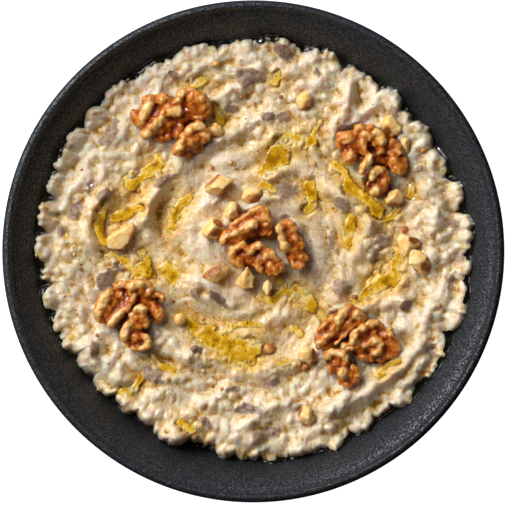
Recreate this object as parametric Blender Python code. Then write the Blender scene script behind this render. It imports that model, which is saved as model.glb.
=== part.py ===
"""Baba ganoush in a shallow stoneware bowl, topped with walnuts and chopped nuts.

The bowl's foot stands on z = 0 and its axis is the Z axis. Sizes below are in
millimetres, and every mesh is written in metres.
"""

import math
import random

import bmesh
import bpy
from mathutils import Matrix, Vector, noise
from mathutils.bvhtree import BVHTree
from mathutils.geometry import delaunay_2d_cdt

METRES = 0.001  # one millimetre

# Bowl
BOWL_RADIUS = 100.0
BOWL_HEIGHT = 44.0
BOWL_SEGMENTS = 56
WALL = 5.0  # thickness, square to the inner face
LIP_RISE = 3.0  # the lip's crest above the top of the inner wall
LIP_WIDTH = 5.0  # from the inner wall's top out to the outline
FLOOR_TOP = 6.0
WALL_POWER = 5.5  # how late the floor turns up into the wall
FLOOR_RINGS = (34, 52, 64, 74, 82, 89)  # radii of the inner face's rings below the wall's top
FOOT_OUTER, FOOT_INNER, FOOT_RECESS = 55.5, 51.0, 2.0

# Dip
GAP = 0.3  # left between pieces that touch
DIP_LEVEL = 28.5
SHORE = 1.3  # the least height of the dip over the wall at its edge
DIP_RADIUS = 82.6  # out to the notches of its edge
DIP_SWAY = 1.7  # how oval the outline is
DIP_LEAN = 1.2  # the outline's shift towards +Y
LOBE_REACH = 2.9  # how far the edge's lobes stand out of the notches
EDGE_ROLL = 5.0  # width over which the top rolls down to the wall
EDGE_POINTS = 144
TOP_SPACING = 4.15
SEAT_SPACING = 2.8  # where a topping is pressed in
SEAT_MARGIN = 2.0
PRESS_STEP = 0.7
SWIRL_PITCH = math.radians(10)  # the strokes' turn inwards
LUMP_SIZE, LUMP_HEIGHT = 7.0, 1.5
LUMP_STRETCH = 0.8  # step between the samples that draw a lump out along the swirl
NOTCHES = (0, 11, 22, 31, 42, 53, 64, 75, 89, 99, 113, 123, 136, 144, 153, 165, 175, 188,
           198, 211, 219, 228, 240, 255, 268, 281, 298, 313, 322, 337, 351)  # degrees

# Rings pressed by the back of a spoon: radius, half width, height
SWIRLS = ((33, 4.5, -1.5), (44, 5, 1.0), (54, 4.5, -1.5), (70, 9, 1.2), (15, 14, 0.8))
SWIRL_WANDER = 2.6  # how far a ring's radius strays

# Strokes between two points, over a bend: x, y, x, y, x, y, half width, height
STROKES = (
    (30, 25, 41, 19, 47, 11, 3.2, 2.2), (47, 11, 44, 5, 42, -1, 3.0, 1.8),
    (-20, 42, -5, 50, 7, 58, 3.2, 1.8), (-15, 35, -5, 38, 8, 45, 3.0, 1.8),
    (-16, 60, -11, 63, -6, 66, 2.6, 1.8), (33, 50, 36, 58, 38, 66, 3.0, 1.6),
    (38, 62, 42, 56, 50, 59, 3.0, 1.8), (-60, 22, -66, 12, -65, 2, 3.6, 2.2),
    (-68, 30, -73, 24, -76, 18, 3.0, 1.6), (-37, 27, -41, 20, -43, 13, 2.8, 1.8),
    (-33, 25, -37, 9, -22, -6, 3.4, -1.8), (0, 19, 9, 22, 18, 19, 2.8, 1.6),
    (6, 29, 16, 34, 22, 31, 3.0, 1.6), (-29, -12, -19, -13, -9, -21, 2.4, 1.6),
    (-28, -43, -20, -41, -12, -43, 3.0, 1.6), (-21, -60, -15, -58, -11, -55, 3.0, 1.6),
    (-3, -69, 5, -64, 13, -61, 3.0, 1.8), (4, -50, 11, -48, 18, -44, 2.8, 1.6),
    (30, -63, 46, -56, 66, -38, 3.4, 2.2), (46, -70, 56, -61, 67, -45, 3.0, 1.8),
    (44, -22, 51, -20, 59, -19, 3.0, 1.6), (62, -30, 70, -24, 76, -17, 3.2, 1.6),
    (70, 25, 74, 16, 72, 7, 4.5, 1.8), (55, 63, 62, 57, 68, 48, 4.0, 1.6),
    (-72, -37, -62, -43, -55, -46, 4.0, 1.6), (-45, -68, -38, -71, -30, -74, 4.0, 1.4),
    (8, 37, 14, 42, 22, 44, 3.4, -1.8), (-20, -33, -10, -38, -1, -45, 4.6, -2.2),
    (57, -2, 54, -11, 39, -18, 3.6, -1.8), (34, 30, 43, 23, 54, 13, 2.8, -1.4),
    (-61, 5, -52, 10, -44, 17, 3.4, -1.2), (-57, -3, -49, -4, -43, -9, 3.0, -1.2),
)

# Walnut kernels, one list of folds each: x, y, length, width, turn, top.
# The first row of each is the body that its folds sit on.
WALNUT_SINK = 3.5  # how far a body reaches under the dip's level
WALNUTS = {
    "walnut_1": (
        (-32.5, 55.2, 24, 11, 22, 35.0), (-43.8, 55.2, 13, 7.5, 60, 37.0), (-36, 59.5, 9, 6.5, 25, 36.5),
        (-39, 50, 14, 6.5, 37, 37.0), (-30.5, 55.5, 9, 6.5, 10, 37.5), (-31, 50.5, 8, 5.5, 60, 35.5),
        (-37.5, 46.5, 10, 5, 0, 33.0), (-26.5, 61.5, 9, 6.5, 70, 36.5), (-21.5, 61, 8, 7, 60, 36.0),
        (-20.5, 56, 7.5, 6.5, 95, 35.5),
    ),
    "walnut_2": (
        (-23, 43.3, 11, 8, 40, 33.0), (-29, 41.5, 9.5, 5.2, 55, 35.0), (-25.2, 47.6, 9, 5, 25, 36.0),
        (-20.5, 46, 8, 5.5, 110, 35.5),
    ),
    "walnut_3": (
        (47, 41.3, 21, 12.5, 12, 35.0), (37.5, 44.5, 9, 7, 80, 36.0), (38.5, 37.5, 8, 6.5, 60, 35.5),
        (43.5, 48.5, 8, 6.5, 40, 36.5), (48, 48.5, 7, 6, 0, 36.5), (44, 42.5, 10, 5, 85, 37.0),
        (50.5, 44, 8, 6, 60, 37.0), (56, 41, 10, 6.5, 120, 36.0), (58, 34.5, 11, 7, 100, 35.5),
        (45.2, 35, 10, 5, 64, 36.5),
    ),
    "walnut_4": (
        (49.8, 27, 12, 8, 95, 33.0), (50, 31.5, 8, 6, 30, 35.5), (48, 25, 10, 5.5, 75, 36.0),
        (52.5, 27.5, 9, 5, 100, 34.5),
    ),
    "walnut_5": (
        (-2.6, 10.4, 20, 8.5, 40, 34.0), (-9.6, 5.4, 7.5, 6, 40, 35.0), (-3.5, 10.5, 15, 5.5, 42, 36.5),
        (3.5, 14.5, 9, 7, 20, 37.0), (5.5, 9, 8, 5.5, 80, 35.0), (0, 10.5, 7, 4.5, 25, 37.0),
    ),
    "walnut_6": (
        (1.5, -3.5, 19, 10, -14, 34.0), (-8, -1.8, 8, 6, 70, 35.5), (-5, 1.4, 7.5, 4.8, 15, 36.5),
        (1, 1.8, 9, 5.5, -10, 37.0), (7.5, -0.8, 9, 5.5, -40, 36.5), (10, -6, 8, 6, -80, 35.0),
        (4, -7, 9, 5, -25, 34.5), (-6, -5, 7, 5, -20, 34.5),
    ),
    "walnut_7": (
        (15, 2.5, 19, 8, -58, 34.0), (12, 9.5, 8, 6, -20, 36.5), (11, 4.5, 12, 4.5, -75, 37.0),
        (16.3, 6.5, 9, 5, -65, 35.5), (18.5, -3.5, 8, 6.5, -60, 35.5), (15.3, -2.5, 8, 5, -60, 35.5),
    ),
    "walnut_8": (
        (-50.5, -19.6, 22, 10, 18, 34.5), (-59.5, -21, 12, 6, 63, 36.5), (-54.8, -26.5, 9, 5.5, 40, 36.0),
        (-53.5, -15.5, 8, 6.5, 20, 36.0), (-46, -14, 9, 6, 10, 36.0), (-48.8, -19.8, 8, 4.8, 60, 37.0),
        (-39.5, -18, 7, 6.5, 60, 35.0), (-40, -21, 7.5, 5.5, 20, 35.0),
    ),
    "walnut_9": (
        (-46.8, -32.4, 14.5, 8.5, 75, 33.5), (-45.5, -27.4, 6.5, 5.5, 20, 36.0), (-50, -32.5, 10, 5, 58, 36.0),
        (-43, -30, 7.5, 5.5, 100, 35.0), (-43.5, -37, 8, 6, 60, 34.5),
    ),
    "walnut_10": (
        (33, -29.8, 21, 10.5, 40, 34.5), (27, -36, 8, 6.5, 40, 35.5), (34, -27.5, 12, 5.5, 48, 37.0),
        (29.5, -32.5, 11, 5, 60, 36.5), (41, -25.5, 8, 6.5, 40, 36.0), (35.8, -31.2, 8, 4.8, 45, 36.0),
    ),
    "walnut_11": (
        (49.5, -37, 18, 11, -10, 34.5), (42, -34.2, 7.5, 5, 50, 36.0), (45.5, -30, 11, 5, 22, 37.0),
        (50, -38, 9, 5, -60, 36.5), (55, -34, 9, 6, -60, 36.0), (54, -40, 8, 6, 10, 35.0),
        (44.5, -41.5, 9, 5.5, 20, 35.0),
    ),
    "walnut_12": (
        (35.5, -47, 13, 10, -40, 33.0), (31, -43.5, 8, 5.5, 50, 35.5), (36, -44, 8, 5, -50, 36.0),
        (35.5, -49.5, 8, 4.5, -80, 35.0), (40, -49.5, 7, 5.5, -60, 34.0), (31.5, -48.5, 7, 5, 80, 34.0),
    ),
}
WALNUT_VOXEL = 1.0
WALNUT_FACES = 250

# Chopped nuts: x, y, length, width, height, turn, top, and how many corners each has
NUTS = {
    "chopped_nut_1": (-13.4, 49, 7.5, 6.5, 6, 70, 32.5, 13),
    "chopped_nut_2": (57, 52, 9, 7.5, 7, 20, 34.0, 9),
    "chopped_nut_3": (62.6, 42.4, 8.5, 4.8, 6, 85, 32.5, 10),
    "chopped_nut_4": (58, 20.4, 8, 7.5, 6, 10, 32.5, 11),
    "chopped_nut_5": (-13.2, 27, 13, 9, 8, 15, 34.0, 10),
    "chopped_nut_6": (-1, 22.3, 9.5, 7.5, 7, 30, 32.5, 14),
    "chopped_nut_7": (-8, 16.3, 8, 7.5, 7, 30, 33.5, 12),
    "chopped_nut_8": (-17.6, 10.2, 9.5, 8.5, 7, 10, 33.5, 9),
    "chopped_nut_9": (-16, -8.8, 13, 7, 6, 35, 32.0, 11),
    "chopped_nut_10": (-3.4, -12.8, 8, 7, 7, 80, 33.5, 7),
    "chopped_nut_11": (5.8, -15, 7, 5, 5, 80, 31.0, 12),
    "chopped_nut_12": (-29.5, -27.5, 7, 6, 5, 20, 31.0, 12),
    "chopped_nut_13": (21.5, -41.5, 9, 7.5, 6, 60, 32.0, 10),
    "chopped_nut_14": (-53.5, 4.8, 14, 11, 7, 35, 33.0, 10),
    "chopped_nut_15": (20.5, 60, 9, 8, 6, 20, 32.5, 14),
    "chopped_nut_16": (61.3, 4.4, 9, 6, 6, -20, 32.5, 11),
    "chopped_nut_17": (67.6, -5.4, 9.5, 8.5, 6.5, -40, 33.0, 12),
    "chopped_nut_18": (21.5, -65.5, 9, 7, 6, 70, 32.5, 12),
}


def new_material(name, colour, roughness):
    material = bpy.data.materials.new(name)
    material.use_nodes = True
    shader = material.node_tree.nodes["Principled BSDF"]
    shader.inputs["Base Color"].default_value = (*colour, 1.0)
    shader.inputs["Roughness"].default_value = roughness
    return material


def add_object(name, mesh, material):
    mesh.materials.clear()
    mesh.materials.append(material)
    mesh.shade_smooth()
    mesh.set_sharp_from_angle(angle=math.radians(40))
    obj = bpy.data.objects.new(name, mesh)
    bpy.context.scene.collection.objects.link(obj)
    return obj


def mesh_from(name, form):
    """A finished bmesh in millimetres as a mesh in metres."""
    bmesh.ops.recalc_face_normals(form, faces=form.faces)
    if form.calc_volume(signed=True) < 0:
        bmesh.ops.reverse_faces(form, faces=form.faces)
    form.transform(Matrix.Scale(METRES, 4))
    mesh = bpy.data.meshes.new(name)
    form.to_mesh(mesh)
    form.free()
    return mesh


# ---- bowl

def wall_height(radius):
    """The inner face's height: a flat floor that turns up into a steep wall."""
    rise = BOWL_HEIGHT - LIP_RISE - FLOOR_TOP
    return FLOOR_TOP + rise * (radius / (BOWL_RADIUS - LIP_WIDTH)) ** WALL_POWER


def outside_of(radius):
    """The outer face's point one wall thickness square to the inner face."""
    step = 0.01
    slope = math.atan((wall_height(radius + step) - wall_height(radius)) / step)
    return radius + WALL * math.sin(slope), wall_height(radius) - WALL * math.cos(slope)


def faceted_wall(radius):
    """The inner face's height on its straight facets, where they come highest."""
    radius = radius / math.cos(math.pi / BOWL_SEGMENTS)
    rings = (0, *FLOOR_RINGS, BOWL_RADIUS - LIP_WIDTH)
    for low, high in zip(rings, rings[1:]):
        if radius <= high:
            along = (radius - low) / (high - low)
            return wall_height(low) + along * (wall_height(high) - wall_height(low))
    return wall_height(radius)


def bowl_profile():
    wall_top = BOWL_RADIUS - LIP_WIDTH
    inner = [(radius, wall_height(radius)) for radius in (0, *FLOOR_RINGS, wall_top)]
    lip = [
        (wall_top + 1.1, BOWL_HEIGHT - 0.9), (wall_top + 2.6, BOWL_HEIGHT),
        (BOWL_RADIUS - 0.7, BOWL_HEIGHT - 1.0), (BOWL_RADIUS, BOWL_HEIGHT - 3.2),
    ]
    outer = [outside_of(radius) for radius in (91, 82, 72, 58)]
    foot = [
        (FOOT_OUTER + 0.8, 1.2), (FOOT_OUTER, 0), (FOOT_INNER, 0),
        (FOOT_INNER - 1, FOOT_RECESS), (0, FOOT_RECESS),
    ]
    return inner + lip + outer + foot


def make_bowl():
    form = bmesh.new()
    verts = [form.verts.new((radius, 0, height)) for radius, height in bowl_profile()]
    edges = [form.edges.new(pair) for pair in zip(verts, verts[1:])]
    bmesh.ops.spin(
        form, geom=verts + edges, cent=(0, 0, 0), axis=(0, 0, 1),
        angle=math.tau, steps=BOWL_SEGMENTS, use_merge=True,
    )
    bmesh.ops.remove_doubles(form, verts=form.verts, dist=1e-4)
    material = new_material("black_stoneware", (0.012, 0.011, 0.012), 0.5)
    return add_object("bowl", mesh_from("bowl", form), material)


# ---- dip

def edge_radius(angle):
    """The dip's outline: rounded lobes between notches, on a slightly oval ring."""
    turn = math.degrees(angle) % 360
    low = max(notch for notch in NOTCHES if notch <= turn)
    later = [notch for notch in NOTCHES if notch > turn]
    high = min(later) if later else 360
    across = (turn - low) / (high - low)
    lobe = math.sqrt(4 * across * (1 - across))
    oval = DIP_SWAY * math.cos(2 * angle + math.radians(42)) + DIP_LEAN * math.sin(angle)
    return DIP_RADIUS + oval + LOBE_REACH * lobe * min(1, (high - low) / 11)


def drawn_noise(x, y, size, salt):
    """Noise whose lumps are drawn out along the swirl."""
    radius = math.hypot(x, y) + 6
    total = 0.0
    for step in (-1.5, -0.5, 0.5, 1.5):
        turn = step * LUMP_STRETCH * size / radius
        shrink = 1 - turn * math.tan(SWIRL_PITCH)
        across = (x * math.cos(turn) - y * math.sin(turn)) * shrink
        along = (x * math.sin(turn) + y * math.cos(turn)) * shrink
        total += noise.noise(Vector((across / size, along / size, salt)))
    return total / 2.2


def bump(distance, half_width):
    return math.exp(-((distance / half_width) ** 2))


def distance_to(x, y, ax, ay, bx, by):
    along = ((x - ax) * (bx - ax) + (y - ay) * (by - ay)) / ((bx - ax) ** 2 + (by - ay) ** 2)
    along = min(1, max(0, along))
    return math.hypot(x - ax - along * (bx - ax), y - ay - along * (by - ay))


def dip_top(x, y):
    """Height of the dip's top, before it rolls down at its edge."""
    radius = math.hypot(x, y)
    height = DIP_LEVEL
    for number, (ring, half_width, rise) in enumerate(SWIRLS):
        wander = SWIRL_WANDER * noise.noise(Vector((x / 40, y / 40, 3.0 + number)))
        strength = 0.75 + 0.6 * noise.noise(Vector((x / 28, y / 28, 9.0 + number)))
        height += rise * strength * bump(radius - ring - 2 * wander, half_width)
    for ax, ay, bx, by, cx, cy, half_width, rise in STROKES:
        nearest = min(distance_to(x, y, ax, ay, bx, by), distance_to(x, y, bx, by, cx, cy))
        height += rise * bump(nearest, half_width)
    return height + LUMP_HEIGHT * drawn_noise(x, y, LUMP_SIZE, 0.5)


def under_height(x, y):
    """The dip's underside, a gap square to the bowl's faceted inner face."""
    radius = math.hypot(x, y)
    slope = faceted_wall(radius + 1) - faceted_wall(radius)
    return faceted_wall(radius) + GAP * math.sqrt(1 + slope ** 2)


def rolled_height(x, y):
    """The top's height with the edge rolled down towards the wall."""
    radius = math.hypot(x, y)
    edge = edge_radius(math.atan2(y, x))
    inside = min(1, max(0, (edge - radius) / EDGE_ROLL))
    seat = faceted_wall(edge) + GAP
    top = max(dip_top(x, y), seat + SHORE)
    return seat + (top - seat) * math.sqrt(1 - (1 - inside) ** 2)


def ring_of(radius, count, turn=0.0):
    angles = [math.tau * (i + turn) / count for i in range(count)]
    return [(radius * math.cos(a), radius * math.sin(a)) for a in angles]


def outline(shrink):
    """The dip's outline, moved in by shrink."""
    angles = [math.tau * i / EDGE_POINTS for i in range(EDGE_POINTS)]
    return [((edge_radius(a) - shrink) * math.cos(a), (edge_radius(a) - shrink) * math.sin(a))
            for a in angles]


def top_places(toppings):
    """Points of the top: rings of even spacing, and closer rows around the toppings."""
    places = []
    inside = DIP_RADIUS - 4.5
    for spacing, close in ((TOP_SPACING, False), (SEAT_SPACING, True)):
        rings = round(inside / spacing)
        for number in range(rings + 1):
            radius = inside * number / rings
            count = max(1, round(math.tau * radius / spacing))
            ring = ring_of(radius, count, 0.5 * (number % 2))
            places += [place for place in ring if near(toppings, *place) == close]
    return places


def near(toppings, x, y):
    """Whether a topping stands over this place or just beside it."""
    if toppings.ray_cast(Vector((x, y, 0)), Vector((0, 0, 1)))[0]:
        return True
    return toppings.find_nearest(Vector((x, y, DIP_LEVEL)))[3] < SEAT_MARGIN


def add_sheet(form, rim, rim_height, inside, inside_height):
    """A triangulated sheet inside a rim; returns the rim's vertices in order."""
    flat = [Vector(place) for place in rim + inside]
    places, _, faces, *_ = delaunay_2d_cdt(flat, [], [list(range(len(rim)))], 1, 1e-4)
    verts = []
    for number, place in enumerate(places):
        height = rim_height if number < len(rim) else inside_height
        verts.append(form.verts.new((place.x, place.y, height(place.x, place.y))))
    for face in faces:
        form.faces.new([verts[i] for i in face])
    return verts[:len(rim)]


def add_band(form, lower, upper):
    for i in range(len(lower)):
        j = (i + 1) % len(lower)
        form.faces.new((lower[i], lower[j], upper[j]))
        form.faces.new((lower[i], upper[j], upper[i]))


def press_down(form, toppings):
    """Lowers the top under each topping until a gap is left."""
    top = BVHTree.FromBMesh(form)
    form.faces.ensure_lookup_table()
    sink = {}
    steps = round(2 * DIP_RADIUS / PRESS_STEP)
    for column in range(steps):
        for row in range(steps):
            x, y = (PRESS_STEP * (i + 0.5) - DIP_RADIUS for i in (column, row))
            underside = toppings.ray_cast(Vector((x, y, 0)), Vector((0, 0, 1)))[0]
            surface, _, number, _ = top.ray_cast(Vector((x, y, 2 * BOWL_HEIGHT)), Vector((0, 0, -1)))
            if underside is None or surface is None:
                continue
            excess = surface.z + 1.4 * GAP - underside.z
            if excess > 0:
                for vert in form.faces[number].verts:
                    sink[vert] = max(excess, sink.get(vert, 0))
    for vert, excess in sink.items():
        vert.co.z -= excess


def make_dip(toppings):
    form = bmesh.new()
    under = []
    for radius, count in zip(FLOOR_RINGS, (20, 30, 36, 42)):
        under += ring_of(radius, count)
    bottom = add_sheet(form, outline(1.0), under_height, [(0.0, 0.0)] + under, under_height)
    top = add_sheet(form, outline(1.2), rolled_height, top_places(toppings), rolled_height)
    belly = []
    for x, y in outline(0.0):
        belly.append(form.verts.new((x, y, under_height(x, y) + 0.5)))
    add_band(form, bottom, belly)
    add_band(form, belly, top)
    bmesh.ops.recalc_face_normals(form, faces=form.faces)
    press_down(form, toppings)
    material = new_material("aubergine_dip", (0.60, 0.44, 0.24), 0.35)
    return add_object("baba_ganoush", mesh_from("baba_ganoush", form), material)


# ---- walnuts and nuts

def add_fold(form, x, y, length, width, turn, top, thickness):
    """One rounded fold, an ellipsoid lying along its turn."""
    placed = (
        Matrix.Translation((x, y, top - thickness / 2))
        @ Matrix.Rotation(math.radians(turn), 4, "Z")
        @ Matrix.Diagonal((length / 2, width / 2, thickness / 2, 1))
    )
    bmesh.ops.create_icosphere(form, subdivisions=3, radius=1, matrix=placed)


def make_walnut(name, folds, material):
    form = bmesh.new()
    for number, (x, y, length, width, turn, top) in enumerate(folds):
        if number == 0:
            thickness = top - DIP_LEVEL + WALNUT_SINK
        else:
            thickness = min(1.15 * width, top - DIP_LEVEL + 1)
        add_fold(form, x, y, length, width, turn, top, thickness)
    walnut = add_object(name, mesh_from(name, form), material)
    remesh = walnut.modifiers.new("Fused", "REMESH")
    remesh.mode = "VOXEL"
    remesh.voxel_size = WALNUT_VOXEL * METRES
    fused = evaluated(walnut)
    triangles = 2 * len(fused.polygons)
    bpy.data.meshes.remove(fused)
    decimate = walnut.modifiers.new("Faceted", "DECIMATE")
    decimate.ratio = min(1, WALNUT_FACES / triangles)
    decimate.use_collapse_triangulate = True
    return walnut


def make_nut(name, size, material, seed):
    """A broken nut: the hull of a few corners on a rounded block."""
    x, y, length, width, height, turn, top, corners = size
    chance = random.Random(seed)
    form = bmesh.new()
    golden = math.pi * (3 - math.sqrt(5))
    for i in range(corners):
        level = 1 - 2 * (i + 0.5) / corners
        spread = math.sqrt(1 - level ** 2) * chance.uniform(0.9, 1.1)
        around = golden * i + chance.uniform(-0.3, 0.3)
        point = Vector((spread * math.cos(around), spread * math.sin(around), level))
        blocky = point / max(abs(point.x), abs(point.y), abs(point.z)) * 0.78
        form.verts.new(point.lerp(blocky, 0.6))
    hull = bmesh.ops.convex_hull(form, input=form.verts)
    bmesh.ops.delete(form, geom=hull["geom_interior"] + hull["geom_unused"], context="VERTS")
    low = Vector([min(v.co[k] for v in form.verts) for k in range(3)])
    high = Vector([max(v.co[k] for v in form.verts) for k in range(3)])
    for vert in form.verts:
        for k, side in enumerate((length, width, height)):
            vert.co[k] = ((vert.co[k] - low[k]) / (high[k] - low[k]) - 0.5) * side
    placed = Matrix.Translation((x, y, top - height / 2)) @ Matrix.Rotation(math.radians(turn), 4, "Z")
    form.transform(placed)
    return add_object(name, mesh_from(name, form), material)


def evaluated(obj):
    """A copy of an object's mesh with its modifiers applied."""
    depsgraph = bpy.context.evaluated_depsgraph_get()
    return bpy.data.meshes.new_from_object(obj.evaluated_get(depsgraph))


def tree_of(objects):
    """One search tree over all the given objects, in millimetres."""
    form = bmesh.new()
    for obj in objects:
        mesh = evaluated(obj)
        form.from_mesh(mesh)
        bpy.data.meshes.remove(mesh)
    form.transform(Matrix.Scale(1 / METRES, 4))
    tree = BVHTree.FromBMesh(form)
    form.free()
    return tree


def main():
    for obj in list(bpy.data.objects):
        bpy.data.objects.remove(obj, do_unlink=True)
    make_bowl()
    kernel = new_material("walnut", (0.50, 0.20, 0.05), 0.4)
    toppings = [make_walnut(name, folds, kernel) for name, folds in WALNUTS.items()]
    broken = new_material("chopped_nut", (0.75, 0.50, 0.22), 0.45)
    for seed, (name, size) in enumerate(NUTS.items()):
        toppings.append(make_nut(name, size, broken, seed))
    make_dip(tree_of(toppings))


main()
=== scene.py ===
import math
import random

import bmesh
import bpy
import numpy as np
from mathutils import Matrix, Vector


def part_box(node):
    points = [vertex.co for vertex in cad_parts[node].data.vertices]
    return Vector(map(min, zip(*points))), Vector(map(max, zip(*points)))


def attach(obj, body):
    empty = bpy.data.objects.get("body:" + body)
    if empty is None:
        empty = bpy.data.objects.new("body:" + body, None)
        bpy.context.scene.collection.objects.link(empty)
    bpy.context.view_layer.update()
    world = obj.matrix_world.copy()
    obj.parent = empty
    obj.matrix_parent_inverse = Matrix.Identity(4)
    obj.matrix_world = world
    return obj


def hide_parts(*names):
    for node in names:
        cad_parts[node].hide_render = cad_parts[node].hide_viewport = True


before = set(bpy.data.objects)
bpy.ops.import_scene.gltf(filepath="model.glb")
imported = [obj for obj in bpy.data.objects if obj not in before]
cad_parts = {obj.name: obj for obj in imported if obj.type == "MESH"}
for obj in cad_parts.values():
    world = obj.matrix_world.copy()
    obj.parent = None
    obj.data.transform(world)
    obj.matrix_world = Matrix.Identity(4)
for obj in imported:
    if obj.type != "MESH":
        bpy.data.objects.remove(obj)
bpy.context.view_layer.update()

mm = 0.001  # sizes below are in millimetres, meshes in metres
bowlLow, bowlHigh = (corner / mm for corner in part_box("bowl"))
bowlRadius, bowlHeight = bowlHigh.x, bowlHigh.z


class Wire:
    # a socket whose sums and products add Math nodes to its material
    def __init__(self, finish, socket):
        self.finish = finish
        self.socket = socket

    def maths(self, operation, first, second):
        return self.finish.node("ShaderNodeMath", {"operation": operation}, {0: first, 1: second})

    def __add__(self, other):
        return self.maths("ADD", self, other)

    def __radd__(self, other):
        return self.maths("ADD", other, self)

    def __sub__(self, other):
        return self.maths("SUBTRACT", self, other)

    def __mul__(self, other):
        return self.maths("MULTIPLY", self, other)

    def __rmul__(self, other):
        return self.maths("MULTIPLY", other, self)


class Finish:
    # one material and its nodes
    def __init__(self, name):
        self.material = bpy.data.materials.new(name)
        self.material.use_nodes = True
        self.nodes = self.material.node_tree.nodes
        self.links = self.material.node_tree.links
        self.shader = self.nodes["Principled BSDF"]

    def node(self, kind, settings=None, sockets=None, out=0):
        made = self.nodes.new(kind)
        for name, value in (settings or {}).items():
            if name == "stops":
                self.setStops(made, value)
            else:
                setattr(made, name, value)
        self.feed(made, sockets or {})
        return Wire(self, made.outputs[out])

    def setStops(self, made, stops):
        ramp = made.color_ramp
        while len(ramp.elements) < len(stops):
            ramp.elements.new(0.5)
        for element, (place, colour) in zip(ramp.elements, stops):
            element.position = place
            element.color = (*colour, 1)

    def feed(self, made, sockets):
        for name, value in sockets.items():
            socket = made.inputs[name]
            if isinstance(value, Wire):
                self.links.new(value.socket, socket)
            elif socket.type == "RGBA" and len(value) == 3:
                socket.default_value = (*value, 1)
            else:
                socket.default_value = value

    def shade(self, **sockets):
        self.feed(self.shader, {name.replace("_", " "): value for name, value in sockets.items()})

    def grain(self, size, detail, rough):
        # noise from 0 to 1 with lumps of about this size in millimetres
        where = self.node("ShaderNodeTexCoord", out="Object")
        sockets = {"Vector": where, "Scale": 1 / (size * mm), "Detail": detail, "Roughness": rough}
        return self.node("ShaderNodeTexNoise", None, sockets)

    def measure(self, name):
        return self.node("ShaderNodeAttribute", {"attribute_name": name}, out="Fac")

    def mix(self, share, first, second, blend="MIX"):
        # 6 and 7 are the Mix node's colour sockets, 2 is its colour result
        settings = {"data_type": "RGBA", "blend_type": blend}
        return self.node("ShaderNodeMix", settings, {"Factor": share, 6: first, 7: second}, out=2)

    def ramp(self, value, *stops):
        return self.node("ShaderNodeValToRGB", {"stops": stops}, {"Fac": value})

    def between(self, value, low, high):
        # 0 below low and 1 above high, smooth in between
        sockets = {"Value": value, "From Min": low, "From Max": high}
        return self.node("ShaderNodeMapRange", {"interpolation_type": "SMOOTHSTEP"}, sockets)

    def bump(self, height, distance, strength):
        sockets = {"Height": height, "Distance": distance * mm, "Strength": strength}
        return self.node("ShaderNodeBump", None, sockets)


def hashed(whole, seed):
    # repeatable pseudo-random numbers from 0 to 1 for whole-number places
    mixed = (whole[..., 0] * 73856093) ^ (whole[..., 1] * 19349663) ^ (whole[..., 2] * 83492791)
    mixed = (mixed ^ (seed * 2654435761)) & 0xFFFFFFFF
    for _ in range(2):
        mixed = ((mixed ^ (mixed >> 15)) * 2246822519) & 0xFFFFFFFF
        mixed = ((mixed ^ (mixed >> 13)) * 3266489917) & 0xFFFFFFFF
    return (mixed ^ (mixed >> 16)) / 4294967296


def smoothNoise(points, size, seed=0):
    # value noise from -1 to 1 at an array of points
    scaled = np.asarray(points, float) / size + 1000
    cell = np.floor(scaled).astype(np.int64)
    part = scaled - cell
    fade = part * part * part * (part * (part * 6 - 15) + 10)
    total = 0
    for corner in np.ndindex(2, 2, 2):
        weight = 1
        for axis in range(3):
            weight = weight * (fade[..., axis] if corner[axis] else 1 - fade[..., axis])
        total = total + weight * hashed(cell + np.array(corner), seed)
    return 2 * total - 1


def knobs(points, size, seed):
    # rounded knobs with grooves between them: 1 at a knob's top, about 0 in the grooves
    scaled = np.asarray(points, float) / size + 1000
    cell = np.floor(scaled).astype(np.int64)
    nearest = np.full(len(scaled), 9.0)
    for corner in np.ndindex(3, 3, 3):
        other = cell + np.array(corner) - 1
        centre = other + 0.15 + 0.7 * np.stack([hashed(other, seed + axis) for axis in range(3)], -1)
        nearest = np.minimum(nearest, ((scaled - centre) ** 2).sum(-1))
    return 1 - nearest / 0.75


def flat3(x, y, z=0.0):
    return np.stack([x, y, np.full_like(x, z)], -1)


def setMeasure(mesh, name, values):
    made = mesh.attributes.new(name, "FLOAT", "POINT")
    made.data.foreach_set("value", np.asarray(values, np.float32).ravel())


def buildMesh(name, points, faces):
    mesh = bpy.data.meshes.new(name)
    mesh.from_pydata((np.asarray(points) * mm).tolist(), [], [tuple(face) for face in faces])
    mesh.validate()
    mesh.shade_smooth()
    piece = bpy.data.objects.new(name, mesh)
    bpy.context.scene.collection.objects.link(piece)
    return piece


def sphereTemplate(cuts):
    # points and faces of a unit ball
    ball = bmesh.new()
    bmesh.ops.create_icosphere(ball, subdivisions=cuts, radius=1)
    ball.verts.ensure_lookup_table()
    points = np.array([vert.co[:] for vert in ball.verts])
    faces = np.array([[vert.index for vert in face.verts] for face in ball.faces])
    ball.free()
    return points, faces


ballPoints, ballFaces = sphereTemplate(3)
ballCoarse, ballCoarseFaces = sphereTemplate(2)


def remeshed(points, faces, voxel):
    # one skin round overlapping closed shapes, all in millimetres
    draft = buildMesh("draft", points, faces)
    melt = draft.modifiers.new("melt", "REMESH")
    melt.mode = "VOXEL"
    melt.voxel_size = voxel * mm
    graph = bpy.context.evaluated_depsgraph_get()
    mesh = bpy.data.meshes.new_from_object(draft.evaluated_get(graph))
    bpy.data.objects.remove(draft)
    skin = np.empty(len(mesh.vertices) * 3)
    mesh.vertices.foreach_get("co", skin)
    corners = np.empty(len(mesh.loops), np.int64)
    mesh.loops.foreach_get("vertex_index", corners)
    return skin.reshape(-1, 3) / mm, corners.reshape(-1, 4)


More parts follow.
